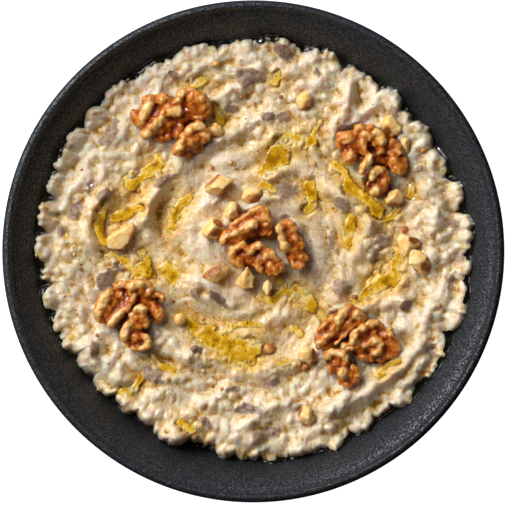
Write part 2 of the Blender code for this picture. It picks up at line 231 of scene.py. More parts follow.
def neighbourMean(points, faces, passes):
    # moves every point to the mean of its neighbours, several times over
    a = faces.ravel()
    b = np.roll(faces, -1, axis=1).ravel()
    count = np.bincount(a, minlength=len(points)) + np.bincount(b, minlength=len(points))
    for _ in range(passes):
        total = np.stack([
            np.bincount(a, points[b, axis], len(points)) + np.bincount(b, points[a, axis], len(points))
            for axis in range(3)], -1)
        points = 0.5 * points + 0.5 * total / count[:, None]
    return points


def normalsOf(points, faces):
    across = np.cross(points[faces[:, 2]] - points[faces[:, 0]], points[faces[:, 3]] - points[faces[:, 1]])
    total = np.stack([np.bincount(faces.ravel(), np.repeat(across[:, axis], 4), len(points))
                      for axis in range(3)], -1)
    return total / np.maximum(np.linalg.norm(total, axis=1), 1e-9)[:, None]


def patchMask(points, patches, soft):
    # 1 inside ovals seen from above: x, y, length, width, turn
    mask = np.zeros(len(points))
    ragged = 0.2 * smoothNoise(points, 1.1, 31)
    for x, y, length, width, turn in patches:
        c, s = math.cos(math.radians(turn)), math.sin(math.radians(turn))
        dx, dy = points[:, 0] - x, points[:, 1] - y
        away = np.hypot((dx * c + dy * s) / (length / 2), (dy * c - dx * s) / (width / 2)) + ragged
        mask = np.maximum(mask, np.clip((1 + soft - away) / (2 * soft), 0, 1))
    return mask


def dress(piece, finish, slot, *nodes):
    piece.data.materials.clear()
    piece.data.materials.append(finish.material)
    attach(piece, "root")
    if nodes:
        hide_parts(*nodes)
    return piece


studio = {
    "keyAzimuth": 140, "keyElevation": 41, "keyDistance": 1.2, "keySize": 1.3, "keyPower": 19.3,
    # a small bright core just in front of the key, which draws the wet glints
    "sparkShare": 0.98, "sparkSize": 0.07, "sparkPower": 4.8, "aimHeight": 0.03,
    "horizonLight": 0.145, "zenithLight": 0.03, "sideLight": 0.9, "skyTint": (1, 0.91, 0.77),
    "lens": 400, "sensor": 36, "shownRadiusShare": 0.986, "sideways": 0.0033, "upwards": 0.0071,
    "floorHalf": 4.0, "floorDrop": 0.0002, "paperGlow": 1.1,
}


def addAreaLight(name, place, size, power):
    light = bpy.data.lights.new(name, "AREA")
    light.shape = "DISK"
    light.size = size
    light.energy = power
    lamp = bpy.data.objects.new(name, light)
    lamp.location = place
    aim = Vector((0, 0, studio["aimHeight"])) - Vector(place)
    lamp.rotation_euler = aim.to_track_quat("-Z", "Y").to_euler()
    lamp.visible_camera = False
    bpy.context.scene.collection.objects.link(lamp)


def skyColour(glow):
    return (*(glow * part for part in studio["skyTint"]), 1)


def makeSky():
    # bright low down on the key's side and dark overhead, so that nothing veils the wet surfaces
    world = bpy.data.worlds.new("sky")
    world.use_nodes = True
    nodes, links = world.node_tree.nodes, world.node_tree.links
    where = nodes.new("ShaderNodeTexCoord")
    split = nodes.new("ShaderNodeSeparateXYZ")
    fade = nodes.new("ShaderNodeValToRGB").color_ramp
    low, high = studio["horizonLight"], studio["zenithLight"]
    for place, glow in ((0.05, low), (0.5, low), (0.95, high)):
        fade.elements.new(place).color = skyColour(glow)
    fade.elements[0].color = (0, 0, 0, 1)
    fade.elements[-1].color = skyColour(high)
    facing = nodes.new("ShaderNodeVectorMath")
    facing.operation = "DOT_PRODUCT"
    turn = math.radians(studio["keyAzimuth"])
    facing.inputs[1].default_value = (math.cos(turn), math.sin(turn), 0)
    strength = nodes.new("ShaderNodeMapRange")
    side = studio["sideLight"]
    for name, value in (("From Min", -1), ("From Max", 1), ("To Min", 1 - side), ("To Max", 1 + side)):
        strength.inputs[name].default_value = value
    links.new(where.outputs["Generated"], facing.inputs[0])
    links.new(facing.outputs["Value"], strength.inputs["Value"])
    links.new(strength.outputs[0], nodes["Background"].inputs["Strength"])
    links.new(where.outputs["Generated"], split.inputs[0])
    links.new(split.outputs["Z"], nodes["Color Ramp"].inputs[0])
    links.new(nodes["Color Ramp"].outputs[0], nodes["Background"].inputs["Color"])
    return world


def makeStudio():
    scene = bpy.context.scene
    scene.view_settings.view_transform = "Standard"
    scene.view_settings.look = "None"
    scene.world = makeSky()
    turn, lift = math.radians(studio["keyAzimuth"]), math.radians(studio["keyElevation"])
    reach = studio["keyDistance"]
    key = (reach * math.cos(turn) * math.cos(lift), reach * math.sin(turn) * math.cos(lift),
           reach * math.sin(lift))
    addAreaLight("key", key, studio["keySize"], studio["keyPower"])
    core = [studio["sparkShare"] * part for part in key]
    addAreaLight("spark", core, studio["sparkSize"], studio["sparkPower"])
    camera = bpy.data.cameras.new("camera")
    camera.lens = studio["lens"]
    camera.sensor_width = studio["sensor"]
    shown = bowlRadius * mm / studio["shownRadiusShare"]
    eye = bpy.data.objects.new("camera", camera)
    eye.location = (0, 0, bowlHeight * mm + shown * camera.lens / (camera.sensor_width / 2))
    camera.shift_x = studio["sideways"]
    camera.shift_y = -studio["upwards"]
    scene.collection.objects.link(eye)
    scene.camera = eye
    floor = bpy.data.meshes.new("floor")
    half = studio["floorHalf"]
    corners = [(-half, -half, 0), (half, -half, 0), (half, half, 0), (-half, half, 0)]
    floor.from_pydata(corners, [], [(0, 1, 2, 3)])
    ground = bpy.data.objects.new("floor", floor)
    ground.location.z = -studio["floorDrop"]
    ground.visible_diffuse = False
    ground.visible_glossy = False
    scene.collection.objects.link(ground)
    paper = Finish("paper")
    paper.shade(Base_Color=(0.2, 0.2, 0.2), Roughness=0.9, Specular_IOR_Level=0.0,
                Emission_Color=(1, 1, 1), Emission_Strength=studio["paperGlow"])
    floor.materials.append(paper.material)
    print("studio ready")


makeStudio()


bowl = {
    "floorTop": 6.0, "wallPower": 5.5, "wall": 5.0, "lipWidth": 5.0, "lipRise": 3.0,
    "flangeStart": 84.0, "flangeRise": 18.8, "flangeSlope": 2.20, "flangeEase": 0.0708, "flangeEnd": 96.0,
    "footOuter": 55.5, "footInner": 51.0, "footRecess": 2.0, "segments": 288,
    # radii at which the inner face bends, and how many more follow up the flange
    "innerSteps": (0, 30, 50, 60, 68, 74, 78, 81), "flangeFirst": 83, "flangeSteps": 15,
    # the glaze near the dip is darker, painted shade of the dip's edge together with wet oil; over this band
    # it turns dry, unshaded and speckled
    "dryUnshadedStart": 85.5, "dryUnshadedWidth": 9.5,
}


def wallHeight(radius):
    # the inner face: a deepening curve up to the flange, which flattens towards the lip
    radius = np.asarray(radius, float)
    start, rise, slope = bowl["flangeStart"], bowl["flangeRise"], bowl["flangeSlope"]
    beyond = np.maximum(radius - start, 0)
    curve = rise * (np.minimum(radius, start) / start) ** (slope * start / rise)
    return bowl["floorTop"] + curve + slope * beyond - bowl["flangeEase"] * beyond ** 2


def outsideOf(radius):
    reach = bowlRadius - bowl["lipWidth"]
    rise = bowlHeight - bowl["lipRise"] - bowl["floorTop"]
    height = bowl["floorTop"] + rise * (radius / reach) ** bowl["wallPower"]
    slope = math.atan(rise * bowl["wallPower"] / reach * (radius / reach) ** (bowl["wallPower"] - 1))
    return radius + bowl["wall"] * math.sin(slope), height - bowl["wall"] * math.cos(slope)


def roundCorners(points, passes):
    # cuts the corners of an open outline and keeps its ends
    for _ in range(passes):
        cut = [points[0]]
        for (ax, az), (bx, bz) in zip(points, points[1:]):
            cut += [(0.75 * ax + 0.25 * bx, 0.75 * az + 0.25 * bz),
                    (0.25 * ax + 0.75 * bx, 0.25 * az + 0.75 * bz)]
        points = cut + [points[-1]]
    return points


def bowlProfile():
    # radius and height from the floor's middle over the lip and down to the foot ring
    steps = [*bowl["innerSteps"], *np.linspace(bowl["flangeFirst"], bowl["flangeEnd"], bowl["flangeSteps"])]
    inner = [(r, float(wallHeight(r))) for r in steps]
    lip = roundCorners([
        inner[-1], (96.6, bowlHeight - 2.1), (97.1, bowlHeight - 0.2), (98.3, bowlHeight + 0.05),
        (99.6, bowlHeight - 0.8), (bowlRadius + 0.1, bowlHeight - 2.6), (bowlRadius + 0.1, bowlHeight - 4.6),
        outsideOf(92.5),
    ], 3)
    lip = [(min(r, bowlRadius), min(z, bowlHeight)) for r, z in lip]
    outer = [outsideOf(r) for r in np.linspace(91.5, 60, 14)]
    ring, well, recess = bowl["footOuter"], bowl["footInner"], bowl["footRecess"]
    foot = roundCorners([
        outer[-1], (ring + 1.2, 2.2), (ring + 0.4, 0.2), (ring - 1.4, 0), (well + 1.2, 0),
        (well - 0.2, 0.2), (well - 1.2, recess), (well - 6, recess + 0.1),
    ], 2)
    foot = [(r, max(z, 0)) for r, z in foot]
    return inner + lip[1:] + outer + foot[1:]


def bowlFinish():
    glaze = Finish("stoneware")
    pebbles = glaze.grain(0.7, 2, 0.7)
    waves = glaze.grain(1.6, 2, 0.5)
    coarse = glaze.grain(6, 3, 0.5)
    dry = glaze.measure("dry")
    tone = glaze.mix(glaze.between(coarse, 0.35, 0.7), (0.007, 0.008, 0.011), (0.0115, 0.0125, 0.018))
    # painted shade: the wall darkens towards the dip, standing for the shade at the dip's edge as well as wet
    # oil
    tone = glaze.mix(dry * 0.75 + 0.25, (0.004, 0.004, 0.004), tone)
    # lighter specks: the glaze's own speckle and also painted glints of its grain, fewer on the painted shade
    # near the dip
    tone = glaze.mix(glaze.between(pebbles, 0.48, 0.64) * (dry * 0.6 + 0.4), tone, (0.033, 0.034, 0.040))
    glaze.shade(
        Base_Color=tone, Roughness=0.50 + 0.10 * coarse, Specular_IOR_Level=0.32,
        Specular_Tint=(0.72, 0.86, 1.0, 1), Coat_Weight=glaze.between(pebbles, 0.46, 0.66),
        Coat_Roughness=0.45, Coat_IOR=1.72, Normal=glaze.bump(pebbles * 0.8 + waves * 0.5, 0.9, 1.0),
    )
    return glaze


def makeBowl():
    middle, *profile = bowlProfile()
    count = bowl["segments"]
    turns = np.arange(count) * math.tau / count
    points = [(0, 0, middle[1])]
    for radius, height in profile:
        points += [(radius * math.cos(t), radius * math.sin(t), height) for t in turns]
    points.append((0, 0, bowl["footRecess"] + 0.1))
    faces = [(0, 1 + i, 1 + (i + 1) % count) for i in range(count)]
    for ring in range(len(profile) - 1):
        low = 1 + ring * count
        for i in range(count):
            j = (i + 1) % count
            faces.append((low + i, low + count + i, low + count + j, low + j))
    last, centre = 1 + (len(profile) - 1) * count, len(points) - 1
    faces += [(last + i, centre, last + (i + 1) % count) for i in range(count)]
    piece = buildMesh("bowlGlazed", points, faces)
    reach = np.hypot(*np.array(points).T[:2])
    setMeasure(piece.data, "dry", np.clip((reach - bowl["dryUnshadedStart"]) / bowl["dryUnshadedWidth"], 0, 1))
    dress(piece, bowlFinish(), "stoneware", "bowl")
    print("bowl ready")


makeBowl()


walnut = {
    "voxel": 0.42, "beads": 0.11, "ease": 5, "bend": 0.9, "bendSize": 2.6, "ridgeEase": 60,
    # knobs in two sizes: how far they stand out, how wide they are, the level that stays in place
    "knob": 0.75, "knobSize": 2.7, "knobLevel": 0.75,
    "fineKnob": 0.28, "fineKnobSize": 1.25, "fineKnobLevel": 0.6,
}

# folds of each kernel: three points of a bend x, y, x, y, x, y, half width, top
walnutFolds = {
    "walnut_1": (
        (-44.5, 51.5, -43.5, 55, -41, 60, 2.6, 36.6), (-47.5, 55.5, -46.5, 52, -44, 50.8, 1.9, 34.2),
        (-43.5, 60.6, -42, 61.3, -39.8, 61, 1.5, 35.2), (-38.5, 60.5, -36.5, 60.8, -34.5, 60.3, 2.6, 36),
        (-42.8, 46.9, -39.8, 50, -36.5, 53.5, 2.6, 36.6), (-36.2, 55.4, -34, 57, -31.5, 57.8, 2, 36.3),
        (-33.2, 55.8, -31.5, 55.8, -30.2, 55.9, 2.5, 37.3), (-31.5, 58.8, -30, 60, -28.8, 60.4, 1.7, 36),
        (-29.3, 62.4, -27.5, 63.2, -24.6, 64, 2, 36.4), (-24.2, 61.4, -22, 61.2, -20.2, 59.8, 3.2, 37),
        (-19.8, 59.6, -19.2, 58.2, -19.8, 57.5, 2.2, 36),
        (-24, 53.8, -21.8, 53.6, -18.8, 54.8, 1.9, 33.8), (-18.2, 58, -17.8, 56, -18.2, 54.5, 1.5, 34.4),
        (-37.8, 45, -35.5, 45.2, -33.2, 46.8, 1.6, 33), (-35, 48, -33.5, 49, -32, 50.5, 1.6, 33.3),
        (-29, 49.8, -29.8, 48.3, -30.6, 46.6, 1.6, 34), (-44, 53, -38, 55, -33, 58, 4.7, 34.4),
        (-35, 52, -30, 54, -22, 58, 4.7, 33.8), (-39, 48, -36, 50, -33, 52, 3.5, 34.4),
        (-27, 60, -24, 58, -21, 56, 3.9, 34.8),
    ),
    "walnut_2": (
        (-30.4, 40, -28.2, 43.5, -25.8, 47.5, 2.4, 35.8), (-25.5, 48, -23, 49.9, -20.6, 49.4, 2.3, 36.5),
        (-20, 48.8, -19, 46.6, -19.6, 44.6, 2, 35.6), (-22.2, 42.2, -21.4, 41.4, -21, 40.8, 1.6, 32.6),
        (-25.6, 40.2, -24, 41, -22.8, 41.8, 1.7, 32.8), (-29, 38.9, -27.5, 38.8, -26, 38.9, 1.5, 33),
        (-27, 42.5, -24, 45, -21.8, 46, 3.7, 35.4),
    ),
    "walnut_3": (
        (35.8, 45.2, 37, 45.4, 38, 45, 3.2, 36.4), (39, 38.8, 38.8, 38, 38.4, 37, 2.8, 36),
        (34.2, 44, 34.2, 42.6, 34.8, 41.4, 1.3, 34), (38.2, 42, 39, 41.6, 39.6, 41, 2, 35.2),
        (41.4, 48.4, 42.4, 49.2, 43.8, 49, 1.8, 36.2), (46, 49.2, 47.4, 49.4, 48.8, 48.6, 1.6, 36),
        (44, 46.4, 45.2, 46.8, 46.4, 46.2, 2.6, 37.2), (44.2, 45, 43.8, 42.4, 44.8, 40, 1.8, 36.4),
        (40.8, 46.6, 41.6, 42.6, 43.9, 38.8, 0.8, 35.3), (48.6, 47.8, 50.2, 47, 51.6, 45.8, 1.8, 36.8),
        (51.2, 44.6, 51.5, 44.3, 51.7, 43.9, 1.9, 37.3), (49, 44.5, 49, 43.5, 48.8, 42.8, 1.8, 36),
        (50.4, 41.4, 50.8, 40.8, 51, 40.2, 1.9, 35.4), (54.6, 43.6, 56.4, 41.8, 58.4, 39.8, 2.5, 34.8),
        (55.8, 38.6, 57.4, 35.6, 58.4, 32.8, 3.1, 35.6), (59.8, 37.6, 60.4, 35.6, 60.6, 33.6, 1.4, 34.4),
        (54.8, 37.2, 55.6, 34.4, 56.8, 31.8, 1.4, 34.8), (58.7, 39.3, 58.8, 39.3, 58.9, 39.3, 0.9, 36.2),
        (43.4, 32, 45, 34.8, 46.8, 37.4, 1.85, 37.2), (38.5, 40, 42, 44, 48, 46, 4.7, 34.6),
        (46, 44, 52, 43, 57, 40, 4.1, 34), (44, 38, 49, 38, 54, 36, 3.1, 32.8),
    ),
    "walnut_4": (
        (48, 30.6, 49, 32.2, 51.3, 32.3, 2, 36.1), (47.6, 30.4, 47.4, 29.6, 47.7, 28.8, 1.5, 35.6),
        (52.5, 31, 53.3, 28.5, 52.8, 26, 1.7, 35), (50, 28, 51.4, 27, 51.4, 25, 2.3, 34.2),
        (49, 25.6, 49.4, 24.4, 48.8, 23.2, 1.9, 35.6), (47.3, 23.5, 47.3, 23.3, 47.5, 23.1, 1.2, 34.8),
        (46.2, 27.4, 45.8, 26.4, 45.8, 25.4, 0.9, 33.2), (49.4, 30, 50, 27.5, 50, 25, 3.7, 34),
    ),
    "walnut_5": (
        (-12, 4, -11, 5.8, -9.6, 7.4, 2.1, 35.6), (-8.4, 6.8, -6.2, 7.4, -4.6, 8.8, 2.2, 36.5),
        (-3.8, 8.8, -1.2, 10.2, 0.8, 11.2, 2.5, 37.3), (-9, 9.4, -4.2, 13, 0.2, 16.2, 1.4, 35.8),
        (0, 16.3, 3, 17, 5.8, 15.8, 1.6, 36.4), (3, 14.4, 5, 13.2, 5.6, 11.2, 2.5, 36.8),
        (5.8, 9.6, 6.3, 8.6, 6.2, 7.4, 1.5, 34.8), (5, 8, 4.2, 7.4, 3.5, 7, 1.2, 34.2),
        (-8, 6, -1, 10, 4, 13, 4.1, 35.6), (-3, 6.5, 2, 7, 6, 6, 1.6, 31.8),
    ),
    "walnut_6": (
        (-8.4, -2.4, -8.4, -0.2, -7.2, 1.4, 1.8, 36), (-6.2, 1.2, -4.6, 2.4, -3.2, 2, 1.6, 36.2),
        (-2.6, 1, -1.4, -0.6, 0, 0.4, 1.5, 36.6), (0, 1.4, 2, 2.3, 4, 1.5, 1.7, 36.8),
        (4, 0.4, 5.4, -1.2, 4.6, -2.7, 1.4, 36.2), (5, 0.6, 7, -0.4, 8.4, -1.4, 1.6, 36.6),
        (6.6, -1.8, 8, -2.6, 9.6, -3.2, 1.5, 36.2), (9.6, -3.6, 11, -5.5, 11, -7.4, 1.6, 35.6),
        (6, -5, 8, -6.4, 8.6, -8.2, 1.9, 35.6), (6, -8, 7, -8.8, 8.2, -9, 1.3, 34.6),
        (1, -5.4, 2.4, -6.4, 3, -7.8, 1.6, 35), (-8, -3.6, -6.6, -5, -5, -5.8, 1.8, 35.6),
        (-6, -2.4, -5.4, -3, -5, -3.4, 1.6, 35.2), (-3, -2.7, -2.9, -2.7, -2.8, -2.7, 0.8, 34.2),
        (-6, -2, 1, -3, 8, -5, 3.7, 34.2),
    ),
    "walnut_7": (
        (10.4, 9.6, 10.4, 9.2, 10.6, 8.8, 1.9, 37.2), (11, 7.2, 11.2, 5.6, 11.5, 4.8, 1.7, 37),
        (12.2, 2.4, 12.4, 2, 12.6, 1.6, 2.1, 37.2), (12.8, 11, 15, 10.6, 16, 8.6, 2, 36),
        (14.5, 7.6, 16, 6, 17, 4.2, 1.9, 35.6), (17.6, 5.4, 19, 3.5, 19, 1.6, 1.5, 34.8),
        (15.4, 2, 16.4, 0, 17.4, -2, 2.1, 35.2), (19.6, -1.6, 20, -4, 18.6, -6, 1.8, 35.2),
        (15.4, -3, 16.4, -5, 17, -6.2, 1.7, 34.6), (13.4, 8, 14, 4, 15, 0, 1.5, 35.2),
        (13.5, 7, 15.5, 2, 18, -4, 3.7, 34.6),
    ),
    "walnut_8": (
        (-61.8, -25, -60.4, -20.6, -57.6, -17, 2.4, 37.2),
        (-62, -25.8, -61.4, -26.8, -60.4, -27.4, 1.7, 35.6),
        (-59, -26.2, -57.2, -22.2, -55, -18.2, 1.9, 35.4),
        (-54.4, -13.8, -52.6, -13, -51.4, -13.4, 1.9, 36),
        (-53, -15.8, -53.2, -17.2, -53, -18.4, 1.6, 35.2),
        (-57.4, -29.4, -55.2, -26.8, -52.6, -24.2, 1.9, 36.6),
        (-49, -14.6, -47, -13.4, -44, -12.9, 2.2, 37), (-42.2, -13, -41.2, -15, -42.8, -17.2, 1.7, 35.6),
        (-46, -15.6, -45, -15.8, -44.4, -16, 1.9, 35.6),
        (-47.6, -17.6, -49, -20.4, -51, -23.8, 1.35, 36),
        (-49.2, -16.4, -49, -16.6, -48.8, -16.8, 1.5, 35.6),
        (-39.4, -17.6, -37.4, -17.2, -36, -19.4, 1.4, 34.6),
        (-39.4, -23.2, -38.2, -24.2, -37.6, -25.4, 2.5, 35.2),
        (-37.4, -27.8, -38, -28.2, -38.6, -28.4, 1.3, 33.2), (-59, -23, -52, -19.5, -46, -17, 3.9, 34.4),
        (-46, -17, -42, -20, -39, -24, 3.5, 33.6), (-57, -27, -53, -23, -50, -20, 3.1, 34.8),
    ),
    "walnut_9": (
        (-46.4, -23.6, -45.2, -22.8, -43.9, -23.4, 2, 37), (-45, -25.4, -44, -27, -43, -29, 2.1, 36),
        (-48.8, -24.6, -49, -25.6, -48.8, -26.6, 1.2, 35.4),
        (-49.5, -29.2, -51, -32, -51.4, -34.8, 2.1, 36.6),
        (-50.6, -36, -50.2, -36.8, -49.4, -37.4, 1.4, 34.6), (-47, -26, -47.4, -28, -46, -30, 1.7, 35.6),
        (-43.6, -33.8, -42.2, -35.5, -42.5, -38, 1.55, 35.8),
        (-43.6, -38.9, -45.6, -38.6, -47.8, -38.7, 1.5, 34.8),
        (-47.4, -33, -47, -36, -46, -37.4, 1.9, 33.4), (-46, -26, -48, -31, -46.5, -36, 3.9, 34.6),
    ),
    "walnut_10": (
        (33.4, -28.4, 35.2, -26, 37.3, -23.7, 2.3, 37.2),
        (39.2, -22.6, 38.8, -22.2, 38.2, -22.2, 1.6, 35.6),
        (41.5, -25, 41.8, -25.4, 42, -25.8, 2.5, 36.9), (43.8, -26, 43.4, -27.6, 42, -28.4, 1.5, 35.2),
        (39.4, -26.6, 38.2, -28.6, 36, -30.4, 1.5, 35.8),
        (40.4, -29.3, 37.2, -32.8, 33, -36.8, 0.9, 35.4), (26.6, -37.3, 28, -35.4, 29.8, -33.6, 2.3, 36),
        (31.4, -31, 32, -30.2, 32.6, -29.4, 1.7, 36.2),
        (26.6, -31.4, 29.4, -28.8, 32.4, -25.6, 1.4, 35.4), (25, -34, 25.4, -33.2, 26, -32.4, 1.1, 34.2),
        (31, -33.4, 33, -32, 34.4, -30, 1.7, 35.6), (28.2, -38.8, 29.6, -38.2, 31, -37, 1.5, 34),
        (28, -35, 34, -30, 40, -26, 4.3, 34.8),
    ),
    "walnut_11": (
        (36.2, -38, 38.6, -38.2, 41, -37.8, 1.9, 36.1), (39.7, -36.2, 40.2, -34.2, 41.2, -32.2, 1.8, 37),
        (43.4, -30.9, 43.6, -30.8, 43.8, -30.7, 1.8, 37),
        (46, -29.6, 47.5, -28.9, 49.4, -28.7, 1.8, 36.5),
        (50.8, -29.4, 51, -29.6, 51.2, -29.8, 1.3, 35.6), (43.6, -33, 46.4, -32.6, 49, -31.6, 1.7, 35.2),
        (42, -38.4, 44.4, -38, 46.4, -37.4, 1.4, 35.6), (47, -36.2, 49.4, -35.8, 51, -37.4, 1.8, 37.1),
        (51, -38.4, 50, -40.2, 48, -40.7, 1.5, 36.9), (54.5, -31, 54.7, -32, 54.8, -33, 1.5, 36.3),
        (52, -33, 54, -34.4, 56.4, -35.2, 1.9, 35.2), (54, -37.8, 56.8, -38.2, 57, -40, 2.3, 35.3),
        (52, -41, 53.6, -41.4, 55, -41.2, 2.1, 34.6), (50, -43.2, 51.6, -43.2, 53, -42.8, 1.4, 33.4),
        (43, -42, 45, -42.4, 47.4, -42.8, 1.7, 34.2), (41, -37, 48, -38, 55, -38, 4.3, 34.8),
        (45, -32, 49, -34, 54, -35, 3.5, 34.4),
    ),
    "walnut_12": (
        (29.6, -42.4, 30.6, -40.8, 33, -40.4, 1.9, 36), (33.4, -40.5, 36, -41.5, 37, -43.4, 2, 36.5),
        (36.6, -45, 36.5, -46, 36.2, -47, 1.7, 35.8), (35.8, -47.4, 35.7, -48.6, 35.8, -49.9, 1.9, 36.6),
        (33, -43, 33.8, -43.5, 34.4, -44, 1.7, 35), (39.6, -46.6, 41, -48.5, 41.3, -50.9, 1.8, 35),
        (39.4, -49, 39.8, -50.5, 40, -52, 1.6, 35.2), (36, -52.4, 37.2, -53.2, 38.6, -53.2, 1.5, 34),
        (34.4, -51.4, 35, -52.2, 36, -53, 1.3, 33.8), (30, -45.6, 30.8, -46.8, 31, -48.4, 1.4, 33.8),
        (32, -43, 36, -46.5, 38, -50, 3.9, 34.6),
    ),
}

# where the brown skin has rubbed off each kernel: x, y, length, width, turn
walnutPale = {
    "walnut_1": (
        (-42.3, 57, 7.6, 3.4, 72), (-43.8, 54, 3.6, 2.6, 60), (-30.4, 55.9, 4.6, 4, 0),
        (-33, 56, 3, 2.2, 0), (-36.6, 52.4, 3, 3, 0), (-38.4, 50, 3.4, 2.4, 45), (-42.2, 47, 2.6, 3, 40),
        (-28.4, 63, 3, 2.2, 20), (-30, 60.6, 2, 2, 0), (-22, 53.6, 2.4, 1.4, 10),
    ),
    "walnut_2": (
        (-21.6, 50.2, 5.4, 2.6, -5), (-19.3, 46.6, 1.8, 4, 80), (-25.6, 48.9, 3, 2, 40),
        (-29.4, 42.6, 5, 2, 60),
    ),
    "walnut_3": (
        (45.1, 34.8, 9, 3.6, 60), (51.5, 44.4, 3.6, 3.8, 0), (49.6, 47.3, 3.6, 2.2, -20),
        (39.2, 38.6, 2.6, 2.4, 0), (45, 46.8, 2.6, 2, 0),
    ),
    "walnut_4": (
        (49, 31.9, 5.2, 3, 35), (47.7, 29.6, 3, 2.6, 90), (49, 24.3, 3.6, 3.6, 0),
        (47.4, 23.3, 2.2, 1.8, 0),
    ),
    "walnut_5": ((-1.3, 10.5, 5.6, 3.2, 25), (-7.8, 7.2, 2.4, 1.6, 20), (-11.6, 5.6, 1.8, 3.4, -30)),
    "walnut_6": (
        (-8.4, 0.4, 1.8, 2.6, 0), (-7.2, 1.6, 2.4, 1.4, 30), (-1.2, -0.4, 2.2, 1.8, 0),
        (5.4, -1.4, 1.6, 3, -20), (8, -1.2, 3, 1.4, -35), (2.2, 2.6, 2.6, 1.2, 0),
    ),
    "walnut_7": ((10.4, 9.2, 3.4, 3.2, 0), (11.2, 5.5, 3.2, 3.6, 0), (12.4, 2, 4, 3.8, 0)),
    "walnut_8": (
        (-60.6, -21.2, 11.5, 3.4, 64), (-61.8, -25.4, 2.8, 3.2, 0), (-54.6, -26.4, 8.6, 2.8, 48),
        (-52.6, -13.4, 2, 2, 0), (-46.2, -13, 6.6, 2.8, 12), (-43.6, -13, 3.4, 3, 0),
        (-47.8, -18, 1.8, 3, -30), (-37.4, -17.6, 3, 1.4, -20),
    ),
    "walnut_9": (
        (-45.2, -22.9, 4.2, 2.8, 0), (-50.7, -31.6, 8.8, 3.3, 68), (-42.8, -36.2, 5.4, 2.2, 80),
        (-44.6, -38.8, 3, 2.2, 0), (-49, -25.4, 1.6, 2.6, -20),
    ),
    "walnut_10": (
        (34.2, -27.3, 3.6, 3.2, 40), (36.2, -24.6, 4, 2.8, 50), (41.8, -25.2, 3.5, 4, -20),
        (29, -33.6, 2.6, 1.4, 40),
    ),
    "walnut_11": (
        (40.4, -35.6, 3.6, 3.4, 0), (40.7, -32.9, 2.2, 3.2, -20), (43.7, -30.7, 2.7, 2.6, 0),
        (47.2, -29, 1.8, 1.4, 0), (49.8, -36.6, 4.2, 3.2, -20), (49, -40.5, 4.2, 2.4, 20),
        (54.7, -32, 2.4, 3.6, 0), (37, -38.2, 3, 2, 0),
    ),
    "walnut_12": (
        (35.8, -48.8, 3.4, 4.8, 0), (33, -40.6, 6, 2.4, -10), (30, -42.2, 2, 2, 0),
        (36.5, -42, 2.6, 2, -40),
    ),
}


def foldBalls(folds, seed):
    # rows of overlapping balls along each fold's bend, as one set of points and faces
    chance = random.Random(seed)
    centres, radii = [], []
    for ax, ay, bx, by, cx, cy, halfWidth, top in folds:
        px, py = 2 * bx - (ax + cx) / 2, 2 * by - (ay + cy) / 2
        length = math.hypot(cx - ax, cy - ay)
        steps = max(1, round(length / (0.5 * halfWidth)))
        phase = chance.uniform(0, math.tau)
        for step in range(steps + 1):
            t = step / steps
            x = (1 - t) ** 2 * ax + 2 * t * (1 - t) * px + t * t * cx
            y = (1 - t) ** 2 * ay + 2 * t * (1 - t) * py + t * t * cy
            wave = 0.6 * math.sin(phase + t * length * 1.9)
            swell = 1 + walnut["beads"] * (wave + chance.uniform(-0.4, 0.4))
            radius = 1.06 * halfWidth * swell * (0.86 if step in (0, steps) and steps > 1 else 1)
            centres.append((x, y, top - halfWidth * 1.15 + chance.uniform(-0.2, 0.2)))
            radii.append((radius, radius, radius * 1.15))
    points = ballPoints[None] * np.array(radii)[:, None] + np.array(centres)[:, None]
    count = len(ballPoints)
    faces = ballFaces[None] + (np.arange(len(centres)) * count)[:, None, None]
    return points.reshape(-1, 3), faces.reshape(-1, 3)


def makeWalnut(number, node, folds, pale, finish):
    points, faces = foldBalls(folds, number + 40)
    points, faces = remeshed(points, faces.tolist(), walnut["voxel"])
    points = neighbourMean(points, faces, walnut["ease"])
    normals = normalsOf(points, faces)
    drift = [smoothNoise(points, walnut["bendSize"], number + 60 + axis) for axis in range(3)]
    bent = points + walnut["bend"] * np.stack(drift, -1)
    wrinkle = walnut["knob"] * (knobs(bent, walnut["knobSize"], number + 70) - walnut["knobLevel"])
    fine = knobs(bent, walnut["fineKnobSize"], number + 80) - walnut["fineKnobLevel"]
    wrinkle += walnut["fineKnob"] * fine
    points = neighbourMean(points + normals * wrinkle[:, None], faces, 1)
    smooth = neighbourMean(points, faces, walnut["ridgeEase"])
    ridge = ((points - smooth) * normals).sum(1)
    piece = buildMesh("kernel_" + node.split("_")[1], points, faces.tolist())
    rubbed = patchMask(points, pale, 0.3) * np.clip(normals[:, 2] * 2.2 - 0.2, 0, 1)
    setMeasure(piece.data, "ridge", ridge)
    setMeasure(piece.data, "rubbed", rubbed)
    setMeasure(piece.data, "height", points[:, 2])
    return dress(piece, finish, "walnut", node)


